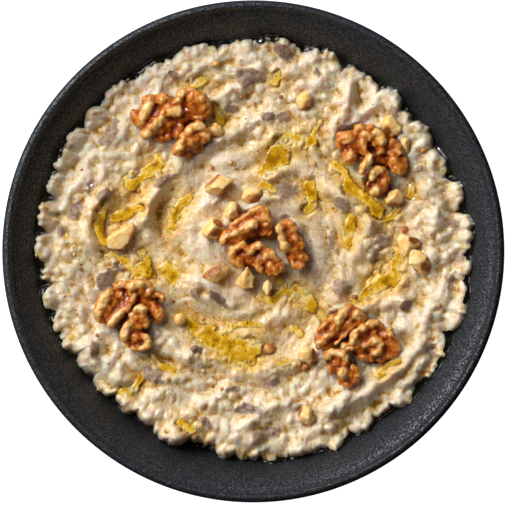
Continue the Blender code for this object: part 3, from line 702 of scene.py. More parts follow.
def walnutFinish():
    skin = Finish("walnutSkin")
    blotch = skin.grain(2.2, 3, 0.6)
    fine = skin.grain(0.5, 2, 0.6)
    grit = skin.grain(1.0, 2, 0.6)
    # painted shade and highlight: the skin darkens in creases and low down and pales on ridge crests and
    # tops, mixed with its own brown blotches
    lift = (skin.measure("ridge") * 0.52 + (blotch - 0.5) * 0.7 + (grit - 0.5) * 0.6
            + (skin.measure("height") - 34.8) * 0.08 + 0.52)
    tone = skin.ramp(
        lift, (0.0, (0.12, 0.008, 0.0003)), (0.28, (0.30, 0.040, 0.0008)), (0.52, (0.50, 0.120, 0.004)),
        (0.74, (0.66, 0.235, 0.026)), (1.0, (0.82, 0.45, 0.14)),
    )
    bare = skin.mix(skin.between(blotch, 0.35, 0.65), (0.80, 0.42, 0.10), (0.95, 0.67, 0.30))
    tone = skin.mix(skin.measure("rubbed") * skin.between(lift + 0.35, 0.3, 0.7), tone, bare)
    skin.shade(
        Base_Color=tone, Roughness=0.40, Specular_IOR_Level=0.12, Coat_Weight=0.8, Coat_Roughness=0.08,
        Subsurface_Weight=0.6, Subsurface_Scale=0.0013, Subsurface_Radius=(1.0, 0.4, 0.12),
        Normal=skin.bump(fine * 0.5 + grit * 0.7, 0.9, 1.0),
    )
    return skin


def makeWalnuts():
    finish = walnutFinish()
    for number, (node, folds) in enumerate(walnutFolds.items()):
        makeWalnut(number, node, folds, walnutPale[node], finish)
    print("walnuts ready")


# corners of each broken nut: x, y, z; the foot is added below them
nutCorners = {
    "chopped_nut_1": (
        (-17.6, 48, 31), (-16.8, 51, 31.5), (-15, 51.6, 31.5), (-12.8, 50.2, 31.2), (-11.2, 47.4, 30.5),
        (-12.2, 45.6, 30.5), (-15.5, 45.2, 30.5), (-17.2, 46.6, 31), (-15.3, 49.3, 33.8),
        (-13.8, 48, 33.4),
    ),
    "chopped_nut_2": (
        (50.4, 50.8, 32), (53.8, 51.2, 34.8), (58.8, 48.2, 33.8), (52.8, 54, 32), (55, 54.8, 31.8),
        (59.6, 50, 31.5), (52.2, 47.4, 31.5), (55.5, 45.6, 31), (58.4, 46.6, 31.2),
    ),
    "chopped_nut_3": (
        (59, 45, 31.5), (60.5, 46.2, 31.5), (62.6, 45.3, 31.3), (63.1, 43, 31), (62.6, 40, 31),
        (62, 37.4, 30.5), (60, 38, 30.5), (59.2, 40.5, 31), (58.6, 43, 31), (60.7, 44, 33.4),
        (61, 40.6, 32.6),
    ),
    "chopped_nut_4": (
        (57.9, 25.1, 32), (60.1, 22, 32), (59.9, 19.8, 32), (56.6, 22.4, 34.2), (53.8, 19.8, 33.2),
        (52, 21, 31.5), (54.5, 24.2, 31.5), (53.4, 18.2, 31), (57.5, 18, 31),
    ),
    "chopped_nut_5": (
        (-19.5, 26.2, 31.6), (-14, 31.1, 32.6), (-8.2, 28.6, 33), (-12.2, 25, 35), (-15.2, 25.8, 35.2),
        (-19.6, 23.6, 30.2), (-14, 22.1, 30.4), (-8.6, 26, 31),
    ),
    "chopped_nut_6": (
        (-5, 21, 31), (-4, 24.5, 31.5), (-1, 26, 31.5), (3.4, 25, 31), (4, 22.6, 31), (2, 19.6, 30.5),
        (-2, 18.8, 30.5), (-4.4, 20, 30.5), (-2.4, 22.6, 33.4), (1.4, 23.4, 33.2),
    ),
    "chopped_nut_7": (
        (-11.6, 14.5, 31.5), (-11, 17.6, 32), (-9, 20, 32), (-6.4, 19.6, 32), (-4.5, 17, 31.5),
        (-5.3, 14.6, 31), (-7.5, 12, 31), (-10, 11.8, 31), (-8.8, 17.4, 34.6), (-9.4, 15, 34.2),
        (-6, 16.6, 33.4),
    ),
    "chopped_nut_8": (
        (-16.6, 14.1, 32.6), (-16.1, 9.4, 35.6), (-18.5, 6.6, 34), (-21.1, 7.3, 31.5), (-11.1, 10, 32.2),
        (-13.4, 12.8, 32.2), (-15, 4.8, 31), (-12, 6.5, 31), (-19, 5.1, 31), (-20.4, 9.6, 31.6),
    ),
    "chopped_nut_9": (
        (-21.3, -10.8, 30.6), (-18.8, -7.7, 31.6), (-11.5, -4.4, 32), (-9, -6.5, 31), (-14, -8.4, 33.5),
        (-18, -10.8, 32.6), (-11, -10, 31), (-14.5, -12.3, 31), (-18, -13.2, 30.6),
    ),
    "chopped_nut_10": (
        (-2.3, -6, 35), (0.7, -10.5, 32.6), (0, -14.6, 31.6), (-4.5, -15.1, 31.6), (-7.5, -13, 31.4),
        (-3.5, -10.5, 34.2), (-6, -10, 31.6),
    ),
    "chopped_nut_11": (
        (5.6, -11.2, 30.5), (7.4, -13, 30.6), (7.8, -15.5, 30.6), (6.4, -17.6, 30.4), (4.8, -17.4, 30.4),
        (3.6, -15, 30.4), (4, -12.6, 30.4), (5.6, -13.8, 32.2), (5.8, -15.8, 32),
    ),
    "chopped_nut_12": (
        (-32, -27.5, 30.4), (-31, -25.2, 30.6), (-29, -24.6, 30.6), (-27.2, -26, 30.4),
        (-27, -28.4, 30.2), (-29, -30, 30.2), (-31, -29.4, 30.2), (-29.8, -26.8, 31.8),
        (-28.8, -28, 31.6),
    ),
    "chopped_nut_13": (
        (17.5, -41, 31), (19, -38.5, 31.5), (22, -37.8, 31.5), (24.5, -39, 31.2), (25, -42.5, 31),
        (24.3, -45.8, 30.6), (22, -45, 30.8), (18.6, -43.6, 31), (19.8, -40, 33.8), (22.4, -39.6, 33.5),
        (22, -43, 33.3),
    ),
    "chopped_nut_14": (
        (-47.8, 11.7, 31.6), (-53.5, 7.5, 34), (-58.3, 4.6, 33), (-57.3, 1.5, 32.2), (-53, 0.9, 32.6),
        (-50, 3.9, 33.2), (-48.2, 8.5, 32.5), (-53, -0.3, 30.6), (-49.3, 2.4, 31), (-47.2, 7.4, 30.6),
        (-58.3, 1.2, 30.6), (-59, 5, 30.2), (-56.5, 7.8, 31), (-52, 9.7, 31),
    ),
    "chopped_nut_15": (
        (17.4, 61.5, 31.2), (19, 63.6, 31.5), (22, 63.6, 31.5), (24, 61, 31.2), (23.6, 58.3, 31),
        (21, 56.4, 30.8), (18, 57.1, 30.8), (17, 59.4, 31), (19.6, 60.8, 34), (21.6, 60.6, 33.8),
        (20.6, 58.8, 33.4),
    ),
    "chopped_nut_16": (
        (57.2, 5, 30.6), (58.5, 7.1, 31), (61.9, 6.2, 33.4), (62.3, 2, 33.6), (60.6, -2.3, 31),
        (59.2, -0.5, 31), (65.8, 5.3, 31.4), (66.8, 2.4, 31.2),
    ),
    "chopped_nut_17": (
        (62, -1.2, 32), (63.5, 0.9, 32), (66, 0.7, 32.4), (69.8, -2, 33), (66.5, -4.3, 34.6),
        (62.3, -5, 33), (70.9, -4.5, 32), (70.4, -8.4, 31), (67.5, -9.6, 31), (64.8, -7.9, 31.5),
    ),
    "chopped_nut_18": (
        (20.5, -61.4, 31.5), (23, -62, 31.5), (24.1, -65, 31.5), (24.6, -68, 31), (22.8, -69.6, 31),
        (20.5, -69, 31), (18, -68, 31), (17.7, -65, 31), (19, -62.5, 31.3), (22.2, -63.2, 33.6),
        (22.3, -67, 34), (18.8, -66, 32.8),
    ),
}

# brown skin left on them: x, y, length, width, turn
nutSkins = {
    "chopped_nut_1": ((-16.8, 50.6, 2, 2, 0), (-15.5, 45.4, 4, 1.6, 0)),
    "chopped_nut_2": ((53.6, 48, 4.4, 3.4, -40), (56.4, 46.2, 2.4, 1.6, 0), (58, 51.6, 3, 1, -50)),
    "chopped_nut_3": ((62.8, 41, 1.4, 5, 0),),
    "chopped_nut_4": ((55.6, 18.4, 6, 2, 5), (53, 22.6, 2.2, 2.6, 40)),
    "chopped_nut_5": ((-16.6, 28.6, 8.6, 2.6, 42), (-9.6, 25.6, 6.6, 2.2, 42)),
    "chopped_nut_6": ((1, 20.6, 5.6, 3, 30), (3.6, 23.6, 1.4, 3, 0)),
    "chopped_nut_7": ((-5.6, 16.6, 2.2, 5, 20), (-7.6, 12.6, 3.6, 1.6, 0)),
    "chopped_nut_8": ((-14, 11.4, 4.6, 2.6, -35), (-14.6, 7.4, 5, 2.8, 15), (-12.4, 6.8, 2, 2, 0)),
    "chopped_nut_9": ((-16.6, -8.2, 11.6, 3, 33), (-19.8, -10, 3.2, 1.8, 40)),
    "chopped_nut_10": ((0.4, -13, 1.4, 4, 0),),
    "chopped_nut_11": ((7.2, -16.4, 1.4, 3, -20),),
    "chopped_nut_12": (),
    "chopped_nut_13": ((24.2, -41, 1.8, 5, 0), (23.8, -45, 2.2, 2, 0)),
    "chopped_nut_14": ((-53.6, 0.2, 9, 1.5, 5), (-48.6, 4.8, 6.6, 1.6, 62), (-50.4, 1.8, 3, 1.6, 45)),
    "chopped_nut_15": ((21.5, 57.2, 5, 1.8, 10), (23.4, 59.6, 1.6, 3.4, 0)),
    "chopped_nut_16": ((64.4, 4.4, 4.6, 3.4, -20),),
    "chopped_nut_17": ((69.2, -6.2, 4, 4.6, 60), (64, -7, 4.6, 1, -35), (70, -3.2, 2, 2, 0)),
    "chopped_nut_18": ((18.6, -64, 1.6, 4, -20), (23.8, -64.4, 1, 3.6, 0)),
}

nut = {"voxel": 0.34, "foot": 26.8, "footShare": 0.8, "chips": 0.16}


def makeNut(number, node, corners, skins, finish):
    corners = np.array(corners)
    middle = corners.mean(0)
    foot = middle + (corners - middle) * nut["footShare"]
    foot[:, 2] = nut["foot"]
    hull = bmesh.new()
    for corner in np.concatenate([corners, foot]):
        hull.verts.new(corner)
    made = bmesh.ops.convex_hull(hull, input=hull.verts)
    spare = [item for item in made["geom_interior"] if isinstance(item, bmesh.types.BMVert)]
    bmesh.ops.delete(hull, geom=spare, context="VERTS")
    hull.verts.index_update()
    hull.verts.ensure_lookup_table()
    points = np.array([vert.co[:] for vert in hull.verts])
    faces = [[vert.index for vert in face.verts] for face in hull.faces]
    hull.free()
    points, faces = remeshed(points, faces, nut["voxel"])
    points = neighbourMean(points, faces, 3)
    normals = normalsOf(points, faces)
    chips = smoothNoise(points, 1.5, number + 10) + 0.5 * smoothNoise(points, 0.7, number + 30)
    points = points + normals * (nut["chips"] * chips)[:, None]
    ridge = ((points - neighbourMean(points, faces, 20)) * normals).sum(1)
    piece = buildMesh("brokenNut_" + node.split("_")[2], points, faces.tolist())
    setMeasure(piece.data, "ridge", ridge)
    # how steeply each point faces sideways, which drives the painted shade on the sides
    setMeasure(piece.data, "side", np.clip(1 - normals[:, 2], 0, 1))
    setMeasure(piece.data, "skin", patchMask(points, skins, 0.22))
    return dress(piece, finish, "chopped_nut", node)


def nutFinish():
    flesh = Finish("nutFlesh")
    blotch = flesh.grain(3.0, 3, 0.55)
    fine = flesh.grain(0.45, 2, 0.6)
    tone = flesh.mix(flesh.between(blotch, 0.38, 0.66), (0.97, 0.71, 0.34), (0.92, 0.54, 0.15))
    # painted highlight: crests are paler
    tone = flesh.mix(flesh.between(flesh.measure("ridge"), 0.05, 0.5) * 0.5, tone, (1.0, 0.82, 0.50))
    rust = flesh.mix(flesh.between(fine, 0.4, 0.6), (0.24, 0.050, 0.008), (0.56, 0.22, 0.045))
    skin = flesh.measure("skin")
    tone = flesh.mix(flesh.between(flesh.grain(1.6, 3, 0.6), 0.52, 0.62) * 0.6, tone, (0.84, 0.43, 0.09))
    # painted shade: steep sides turn a deeper orange
    side = flesh.between(flesh.measure("side") + (blotch - 0.5), 0.3, 0.9)
    tone = flesh.mix(side * 0.75, tone, (0.80, 0.38, 0.07))
    tone = flesh.mix(skin, tone, rust)
    flesh.shade(
        Base_Color=tone, Roughness=0.45, Specular_IOR_Level=0.2, Coat_Weight=0.35, Coat_Roughness=0.08,
        Subsurface_Weight=0.8, Subsurface_Scale=0.0020, Subsurface_Radius=(1.0, 0.5, 0.2),
        Normal=flesh.bump(fine + blotch * 0.3, 0.5, 0.8),
    )
    return flesh


def makeNuts():
    finish = nutFinish()
    for number, (node, corners) in enumerate(nutCorners.items()):
        makeNut(number, node, corners, nutSkins[node], finish)
    print("broken nuts ready")


dip = {
    "level": 28.5, "roll": 3.0, "rollShare": 0.96, "rollTurn": math.radians(112), "lobeRise": 1.0,
    "cells": 300, "gridHalf": 92.0, "gridStep": 0.35, "pitch": math.radians(10),
    # how far the folds reach, and how boldly folds and strokes stand out
    "foldReach": 87, "foldShare": 0.88, "strokeShare": 1.55,
    # how far above the wall the underside stays, and its rings as shares of the edge's radius
    "underGap": 0.3, "underRings": (0.96, 0.85, 0.65, 0.35),
    # an oil pool lies this far below its banks and is cut this deep
    "poolDrop": 0.18, "poolCarve": 0.12, "poolBank": 0.4,
    # lobes of the edge: where each begins in degrees, the radius there, the radius it swells to
    "lobes": (
        (11, 84, 87), (21, 83, 85.5), (30, 82.5, 85.5), (39, 82.5, 83.5), (44, 82, 86), (52, 82, 84.5),
        (64, 81, 85.5), (76, 82.5, 86), (90, 84, 85), (95, 83.5, 83.5), (100, 82, 86.5), (113, 83.5, 86),
        (124, 84, 87), (136, 84.5, 86.5), (144, 83.5, 87.5), (151, 86, 87.5), (158, 86, 87), (165, 84, 87.5),
        (175, 85, 88), (183, 85, 86), (189, 83, 87), (197, 83.5, 86), (203, 83.5, 85), (210, 81, 83.5),
        (218, 80, 83.5), (226, 80, 82.5), (234, 80, 82), (240, 80, 84), (251, 79.5, 80.5), (259, 80, 83.5),
        (265, 81.5, 84), (272, 81.5, 85), (280, 82.5, 84.5), (289, 83, 86), (298, 82, 85), (306, 82.5, 84),
        (312, 82, 87), (321, 84, 87.5), (337, 83.5, 88.5), (352, 86, 87.5), (359, 85.5, 88.5),
    ),
    # rings pressed by the back of a spoon: radius, half width, height
    "swirls": ((33, 4.5, -1.2), (44, 5, 0.8), (54, 4.5, -1.2), (70, 9, 1.0), (15, 14, 0.8)),
    # lumps of several kinds: number, seed, widths, stretches, rises, spread, blend, inner share, softness
    "folds": (
        (190, 11, (7.0, 11.0), (2.2, 4.4), (0.22, 0.33), 0.45, 0.7, 0.02, 0.6),
        (150, 21, (6.0, 10.0), (1.0, 1.6), (0.20, 0.30), 1.0, 0.8, 0.70, 0.5),
        (850, 31, (3.0, 5.4), (1.8, 3.8), (0.24, 0.38), 0.55, 0.5, 0.04, 0.3),
        (1100, 51, (2.8, 4.8), (1.0, 1.5), (0.30, 0.44), 1.5, 0.3, 0.28, 0.2),
        (7000, 41, (1.2, 2.3), (1.3, 2.6), (0.24, 0.38), 0.6, 0.25, 0.05, 0.16),
    ),
}

# strokes over a bend: x, y, x, y, x, y, half width, height
strokes = (
    (30, 25, 41, 19, 47, 11, 3.2, 2.2), (47, 11, 44, 5, 42, -1, 3, 1.8),
    (-20, 42, -5, 50, 7, 58, 3.2, 1.8), (-15, 35, -5, 38, 8, 45, 3, 1.8),
    (-16, 60, -11, 63, -6, 66, 2.6, 1.8), (33, 50, 36, 58, 38, 66, 3, 1.6),
    (38, 62, 42, 56, 50, 59, 3, 1.8), (-60, 22, -66, 12, -65, 2, 3.6, 2.2),
    (-68, 30, -73, 24, -76, 18, 3, 1.6), (-37, 27, -41, 20, -43, 13, 2.8, 1.8),
    (-33, 25, -37, 9, -22, -6, 3.4, -1.8), (0, 19, 9, 22, 18, 19, 2.8, 1.6),
    (6, 29, 16, 34, 22, 31, 3, 1.6), (-29, -12, -19, -13, -9, -21, 2.4, 1.6),
    (-28, -43, -20, -41, -12, -43, 3, 1.6), (-21, -60, -15, -58, -11, -55, 3, 1.6),
    (-3, -69, 5, -64, 13, -61, 3, 1.8), (4, -50, 11, -48, 18, -44, 2.8, 1.6),
    (30, -63, 46, -56, 66, -38, 3.4, 2.2), (46, -70, 56, -61, 67, -45, 3, 1.8),
    (44, -22, 51, -20, 59, -19, 3, 1.6), (62, -30, 70, -24, 76, -17, 3.2, 1.6),
    (70, 25, 74, 16, 72, 7, 4.5, 1.8), (55, 63, 62, 57, 68, 48, 4, 1.6),
    (-72, -37, -62, -43, -55, -46, 4, 1.6), (-45, -68, -38, -71, -30, -74, 4, 1.4),
)

# oil pools along a bend: x, y, x, y, x, y, half width, depth
pools = (
    (6.5, 32, 9, 36.5, 11, 42, 3, 1.9), (10, 44, 16, 45, 23, 43.5, 1.7, 1.2),
    (23, 44, 24.5, 48.5, 27, 52, 0.9, 0.9), (-49, 27.5, -44, 31, -38, 34, 2, 2.8),
    (-39.5, 34.5, -38.5, 36, -38, 38, 1.2, 1.4), (-26, 21, -30.5, 16, -32, 9, 1.5, 3.6),
    (-59.5, 18, -61.8, 10, -59.5, 3.5, 1.3, 1.2), (-56, 13.5, -51, 15, -46, 17.5, 1.4, 1.2),
    (-57.5, -1.5, -51, -5, -43, -8, 1.6, 1.5), (-45, -1, -43.5, -3, -43, -6, 1.4, 1.3),
    (-35.5, -6.5, -32.5, -9, -29.5, -12, 1.9, 1.8), (-49, -9.5, -45, -10, -40, -9.5, 1, 1.1),
    (-29, -27.5, -22, -32, -15, -35.5, 1.7, 1.9), (-16, -36, -9.5, -37.5, -3, -38.5, 3.6, 1.5),
    (-10, -41, -6, -43.5, -2, -44.5, 2.2, 2), (-40, -42, -37, -46, -32, -47, 1, 1.2),
    (38.2, 3, 38.2, 8, 39.4, 13, 1.4, 3.4), (57.5, 0, 57, -7, 52, -12.5, 1.7, 1.5),
    (52, -12.5, 47, -16.5, 42, -19.5, 1.7, 1.1), (50.5, -5, 48.5, -10, 45.5, -15, 1.1, 1.1),
    (32.5, 34, 36.5, 31.5, 37.5, 26, 1.3, 1.3), (37.5, 26, 43, 21.5, 50, 16.5, 1.9, 2),
    (50, 16.5, 53.5, 13, 58, 17, 1.1, 1.3), (63.6, 27.5, 63.6, 25, 63, 22.5, 1.2, 1.4),
    (16.5, -15.5, 20.5, -18.5, 23, -21, 2.1, 1.8), (23, -21, 26.5, -24, 29.5, -28.5, 1.2, 1.5),
    (3, -18.5, 6.5, -20, 11.5, -17, 1.3, 1.5), (9.5, -10.5, 11.5, -12.5, 12.5, -15, 1.3, 1.3),
    (-8, -30.3, -1.5, -29.2, 4.5, -30, 1, 1.3), (16, -30.5, 17.5, -32, 19, -33.5, 1.2, 1.2),
    (-26, 66, -23, 67.2, -20, 68, 1.3, 1.3), (9, -46, 13, -44.6, 17.5, -44, 1.1, 1.4),
    (50, -50, 54, -46, 58, -44, 1.2, 1.2), (8.5, 67.5, 9.5, 69, 10, 71, 1.1, 1.1),
    (-74.5, 6, -73.8, 4, -73.5, 2.5, 0.9, 1.1), (-16.5, 58, -14, 55, -13, 52, 1.2, 1.2),
    (22.3, 26.5, 23.6, 22, 22.2, 17, 1.7, 1.7), (3.5, 26.5, 6, 26, 8, 24, 1.2, 1.4),
    (-72.8, -34.6, -72, -34.8, -71.2, -35, 1, 1), (59, -9, 58, -11, 56.5, -13, 1, 1),
    (-52, -56, -48, -55, -45.5, -51, 1.2, 0.9), (-29, -69, -26.5, -70.5, -24, -71, 1.3, 0.9),
)

# soft aubergine showing through: x, y, length, width, turn, how dark
chunks = (
    (-57.5, 48, 12, 5, 60, 0.4), (-32, 71, 5, 3, -30, 0.9), (-3, 70, 10, 8, 0, 0.45),
    (11, 80, 11, 6, -30, 0.7), (26, 71, 5, 2.6, -60, 0.8), (-66, 25, 9, 4, 70, 0.8),
    (-60, 23, 8, 5, 30, 0.55), (-71, 17, 8, 5, 50, 0.6), (-77, 8, 7, 4, 60, 0.8),
    (-37, 28, 10, 3.6, 30, 0.45), (13, 25, 12, 7, -20, 0.45), (35, 19, 8, 6, 0, 0.2),
    (31, 4, 3.6, 9, 10, 0.5), (48, -1, 4, 7, 0, 0.2), (35, -14, 8, 7, 0, 0.15),
    (-14, -19, 9, 4, -40, 0.9), (-23, -17, 7, 4, -40, 0.5), (-60, -12, 11, 6, 45, 0.7),
    (-54, -6, 7, 3.4, -40, 0.5), (-63, -40, 4, 8, 10, 0.8), (-42, -48, 8, 6, -30, 0.5),
    (-38, -52, 4, 3, 0, 0.3), (-23, -39, 5, 3, 0, 0.8), (-9, -55, 7, 2.6, 0, 0.6),
    (-3, -63, 12, 5, -10, 0.9), (-19, -68, 6, 4, -30, 0.6), (5, -73, 12, 5, 25, 0.7),
    (7, -53, 7, 4, 30, 0.3), (18, -62, 4, 4, 0, 0.5), (61, -22, 6, 4, 20, 0.7), (71, -39, 4, 8, 0, 0.5),
    (79, -13, 3.4, 9, -10, 0.6), (80, 11, 5, 3, 0, 0.6), (82, -3, 4, 3, 0, 0.3), (52, 4, 6, 5, 0, 0.2),
    (6, 54, 6, 3.4, 0, 0.7), (12, 54, 6, 3.4, 0, 0.5), (-9, 57, 5, 3, 0, 0.6), (12, 14, 5, 2, 0, 0.5),
    (22, -3, 5, 4, 0, 0.2), (56, 55, 7, 4, -60, 0.3), (66, 33, 5, 3, 40, 0.3),
    (-13, 21, 7, 2.4, 40, 0.2), (-74, 42, 4, 3, 0, 0.4),
)


def edgeRadius(angle):
    # rounded lobes between notches, the first of them again at the end to close the ring
    angle = np.asarray(angle)
    starts, notch, swell = np.array(dip["lobes"] + dip["lobes"][:1], float).T
    starts[-1] += 360
    turn = (np.degrees(angle) - starts[0]) % 360 + starts[0]
    slot = np.clip(np.searchsorted(starts, turn, side="right") - 1, 0, len(starts) - 2)
    across = (turn - starts[slot]) / (starts[slot + 1] - starts[slot])
    lobe = np.sqrt(np.maximum(4 * across * (1 - across), 0))
    low = notch[slot] * (1 - across) + notch[slot + 1] * across
    where = flat3(90 * np.cos(angle), 90 * np.sin(angle))
    ragged = 0.8 * np.abs(smoothNoise(where, 4.0, 51)) + 0.6 * smoothNoise(where, 1.8, 52) - 0.25
    return low + (swell[slot] - low) * lobe + ragged, lobe


gridLine = np.arange(-dip["gridHalf"], dip["gridHalf"], dip["gridStep"])
gridX, gridY = np.meshgrid(gridLine, gridLine, indexing="ij")
gridR = np.hypot(gridX, gridY)
# places bent by slow noise, so that what follows the swirl wanders
bentX = gridX + 5.0 * smoothNoise(flat3(gridX, gridY), 26, 41) + 1.6 * smoothNoise(flat3(gridX, gridY), 9, 43)
bentY = gridY + 5.0 * smoothNoise(flat3(gridX, gridY), 26, 42) + 1.6 * smoothNoise(flat3(gridX, gridY), 9, 44)
bentR = np.hypot(bentX, bentY)


def blurred(field, size):
    # Gaussian blur of a grid, size in millimetres
    rate = np.fft.fftfreq(len(gridLine), dip["gridStep"])
    fall = np.exp(-2 * (math.pi * size * rate) ** 2)
    return np.fft.ifft2(np.fft.fft2(field) * fall[:, None] * fall[None, :]).real


def softMax(a, b, width):
    return 0.5 * (a + b + np.sqrt((a - b) ** 2 + width * width))


def softMin(a, b, width):
    return 0.5 * (a + b - np.sqrt((a - b) ** 2 + width * width))


def patch(x, y, reach):
    # the part of the grid within reach of a point
    low = [max(0, int((v - reach + dip["gridHalf"]) / dip["gridStep"])) for v in (x, y)]
    high = [int((v + reach + dip["gridHalf"]) / dip["gridStep"]) + 2 for v in (x, y)]
    return slice(low[0], high[0]), slice(low[1], high[1])


def ovalDistance(cut, x, y, length, width, turn):
    # 0 at an oval's middle, 1 at its outline
    c, s = math.cos(turn), math.sin(turn)
    dx, dy = gridX[cut] - x, gridY[cut] - y
    return np.hypot((dx * c + dy * s) / (length / 2), (dy * c - dx * s) / (width / 2))


def bendDistance(cut, ax, ay, bx, by, cx, cy):
    # distance to a smooth curve through three points
    x, y = gridX[cut], gridY[cut]
    best = np.full_like(x, 99.0)
    px, py = 2 * bx - (ax + cx) / 2, 2 * by - (ay + cy) / 2
    fromX, fromY = ax, ay
    for t in (0.17, 0.33, 0.5, 0.67, 0.83, 1.0):
        toX = (1 - t) ** 2 * ax + 2 * t * (1 - t) * px + t * t * cx
        toY = (1 - t) ** 2 * ay + 2 * t * (1 - t) * py + t * t * cy
        runX, runY = toX - fromX, toY - fromY
        along = ((x - fromX) * runX + (y - fromY) * runY) / max(runX ** 2 + runY ** 2, 1e-6)
        along = np.clip(along, 0, 1)
        best = np.minimum(best, np.hypot(x - fromX - along * runX, y - fromY - along * runY))
        fromX, fromY = toX, toY
    return best


def bendPatch(ax, ay, bx, by, cx, cy, reach):
    middle = ((ax + bx + cx) / 3, (ay + by + cy) / 3)
    far = max(math.dist(middle, corner) for corner in ((ax, ay), (bx, by), (cx, cy)))
    return patch(*middle, far + reach)


def drawnNoise(size, stretch, seed):
    # noise whose lumps are drawn out along the swirl
    total = 0
    for step in (-2, -1, 0, 1, 2):
        turn = step * stretch * size / (bentR + 6)
        shrink = 1 - turn * math.tan(dip["pitch"])
        x = (bentX * np.cos(turn) - bentY * np.sin(turn)) * shrink
        y = (bentX * np.sin(turn) + bentY * np.cos(turn)) * shrink
        total = total + smoothNoise(flat3(x, y), size, seed)
    return total / np.std(total)


def layOvals(height, number, seed, sizes, stretches, rises, spread, blend, reachIn):
    # scatters rounded ovals along the swirl, each rising out of its neighbours
    chance = random.Random(seed)
    for _ in range(number):
        angle = chance.uniform(0, math.tau)
        radius = dip["foldReach"] * math.sqrt(chance.uniform(reachIn, 1))
        x, y = radius * math.cos(angle), radius * math.sin(angle)
        width = chance.uniform(*sizes)
        length = width * chance.uniform(*stretches)
        turn = angle + math.pi / 2 + dip["pitch"] + chance.gauss(0, spread)
        cut = patch(x, y, length / 2 + 1)
        away = ovalDistance(cut, x, y, length, width, turn)
        cap = width * chance.uniform(*rises) * np.maximum(0, 1 - away ** 2) ** 0.8
        height[cut] = softMax(height[cut], cap, blend)
    return height


def swirlHeight():
    # rings, noise drawn out along the swirl, and folds
    height = np.full_like(gridX, dip["level"])
    for number, (ring, halfWidth, rise) in enumerate(dip["swirls"]):
        wander = 5.0 * smoothNoise(flat3(gridX, gridY, 9.0 * number), 40, 3)
        strength = 0.8 + 0.5 * smoothNoise(flat3(gridX, gridY, 7.0 * number), 26, 4)
        height += rise * strength * np.exp(-(((gridR - ring - wander) / halfWidth) ** 2))
    height += 0.35 * drawnNoise(11, 0.7, 5)
    height += 0.40 * (np.abs(drawnNoise(6.5, 0.7, 6)) - 0.8)
    for number, seed, sizes, stretches, rises, spread, blend, reachIn, soft in dip["folds"]:
        laid = layOvals(np.zeros_like(gridX), number, seed, sizes, stretches, rises, spread, blend, reachIn)
        height += dip["foldShare"] * blurred(laid - laid[gridR < 80].mean(), soft)
    return height


def addStrokes(height):
    for *bend, halfWidth, rise in strokes:
        cut = bendPatch(*bend, halfWidth * 3)
        away = bendDistance(cut, *bend)
        height[cut] += dip["strokeShare"] * rise * np.exp(-((away / halfWidth) ** 2))


def addChunks(height, ragged):
    # soft swells with ragged outlines: how much flesh shows, and how dark it is
    flesh, dark = np.zeros_like(gridX), np.zeros_like(gridX)
    for x, y, length, width, turn, deepness in chunks:
        cut = patch(x, y, max(length, width) / 2 + 5)
        away = ovalDistance(cut, x, y, length, width, math.radians(turn)) + 0.34 * ragged[cut]
        inside = np.clip((1.3 - away) / 0.75, 0, 1)
        flesh[cut] = np.maximum(flesh[cut], inside)
        dark[cut] = np.maximum(dark[cut], inside * deepness)
        height[cut] += 0.9 * np.sqrt(np.maximum(0, 1 - (away / 1.1) ** 2))
    return flesh, dark


def pressSeats(height):
    for x, y, reach, level in seats():
        cut = patch(x, y, reach * 1.6)
        away = np.hypot(gridX[cut] - x, gridY[cut] - y) / reach
        height[cut] -= np.maximum(0, height[cut] - level) * np.clip((1.5 - away) / 0.7, 0, 1)


def carvePools(height, ragged):
    # cuts each pool into the dip and gives the level that its oil stands at
    oilLevel = np.full_like(gridX, -99.0)
    curdled = height - blurred(height, 1.3)
    for *bend, halfWidth, deep in pools:
        cut = bendPatch(*bend, halfWidth * 2.5 + 1)
        away = bendDistance(cut, *bend) / halfWidth + 0.34 * ragged[cut]
        around = np.clip((away - 0.9) / 0.3, 0, 1) * (away < 1.8)
        level = (height[cut] * around).sum() / max(around.sum(), 1) - dip["poolDrop"]
        carved = height[cut] - dip["poolCarve"] * np.exp(-((away / 1.2) ** 2)) * deep
        bank = level - dip["poolBank"] * deep * (1.0 - away) + 1.2 * np.maximum(away - 1, 0) ** 2
        carved = softMin(carved, bank + 0.55 * ragged[cut] + 1.5 * curdled[cut], 0.35)
        height[cut] = np.where(away < 2.2, carved, height[cut])
        oilLevel[cut] = np.where(away < 1.7, np.maximum(oilLevel[cut], level), oilLevel[cut])
    return oilLevel


def makeRelief():
    height = swirlHeight()
    addStrokes(height)
    ragged = smoothNoise(flat3(gridX, gridY), 3.4, 8) + 0.6 * smoothNoise(flat3(gridX, gridY), 1.3, 9)
    flesh, dark = addChunks(height, ragged)
    height += 0.16 * (np.abs(smoothNoise(flat3(gridX, gridY), 1.5, 10)) - 0.4)
    height += 0.07 * smoothNoise(flat3(gridX, gridY), 0.75, 12) + 0.09 * drawnNoise(1.9, 1.2, 13)
    pressSeats(height)
    oilLevel = carvePools(height, ragged)
    return height, flesh, dark, oilLevel


def seats():
    # where toppings press the dip down: x, y, reach, level
    spots = [(bx, by, halfWidth + 0.4, top - 2.6 * halfWidth) for folds in walnutFolds.values()
             for _, _, bx, by, _, _, halfWidth, top in folds if halfWidth > 2.9]
    for corners in nutCorners.values():
        middle = np.mean(corners, axis=0)
        spots.append((middle[0], middle[1], 2.6, middle[2] - 1.6))
    return spots


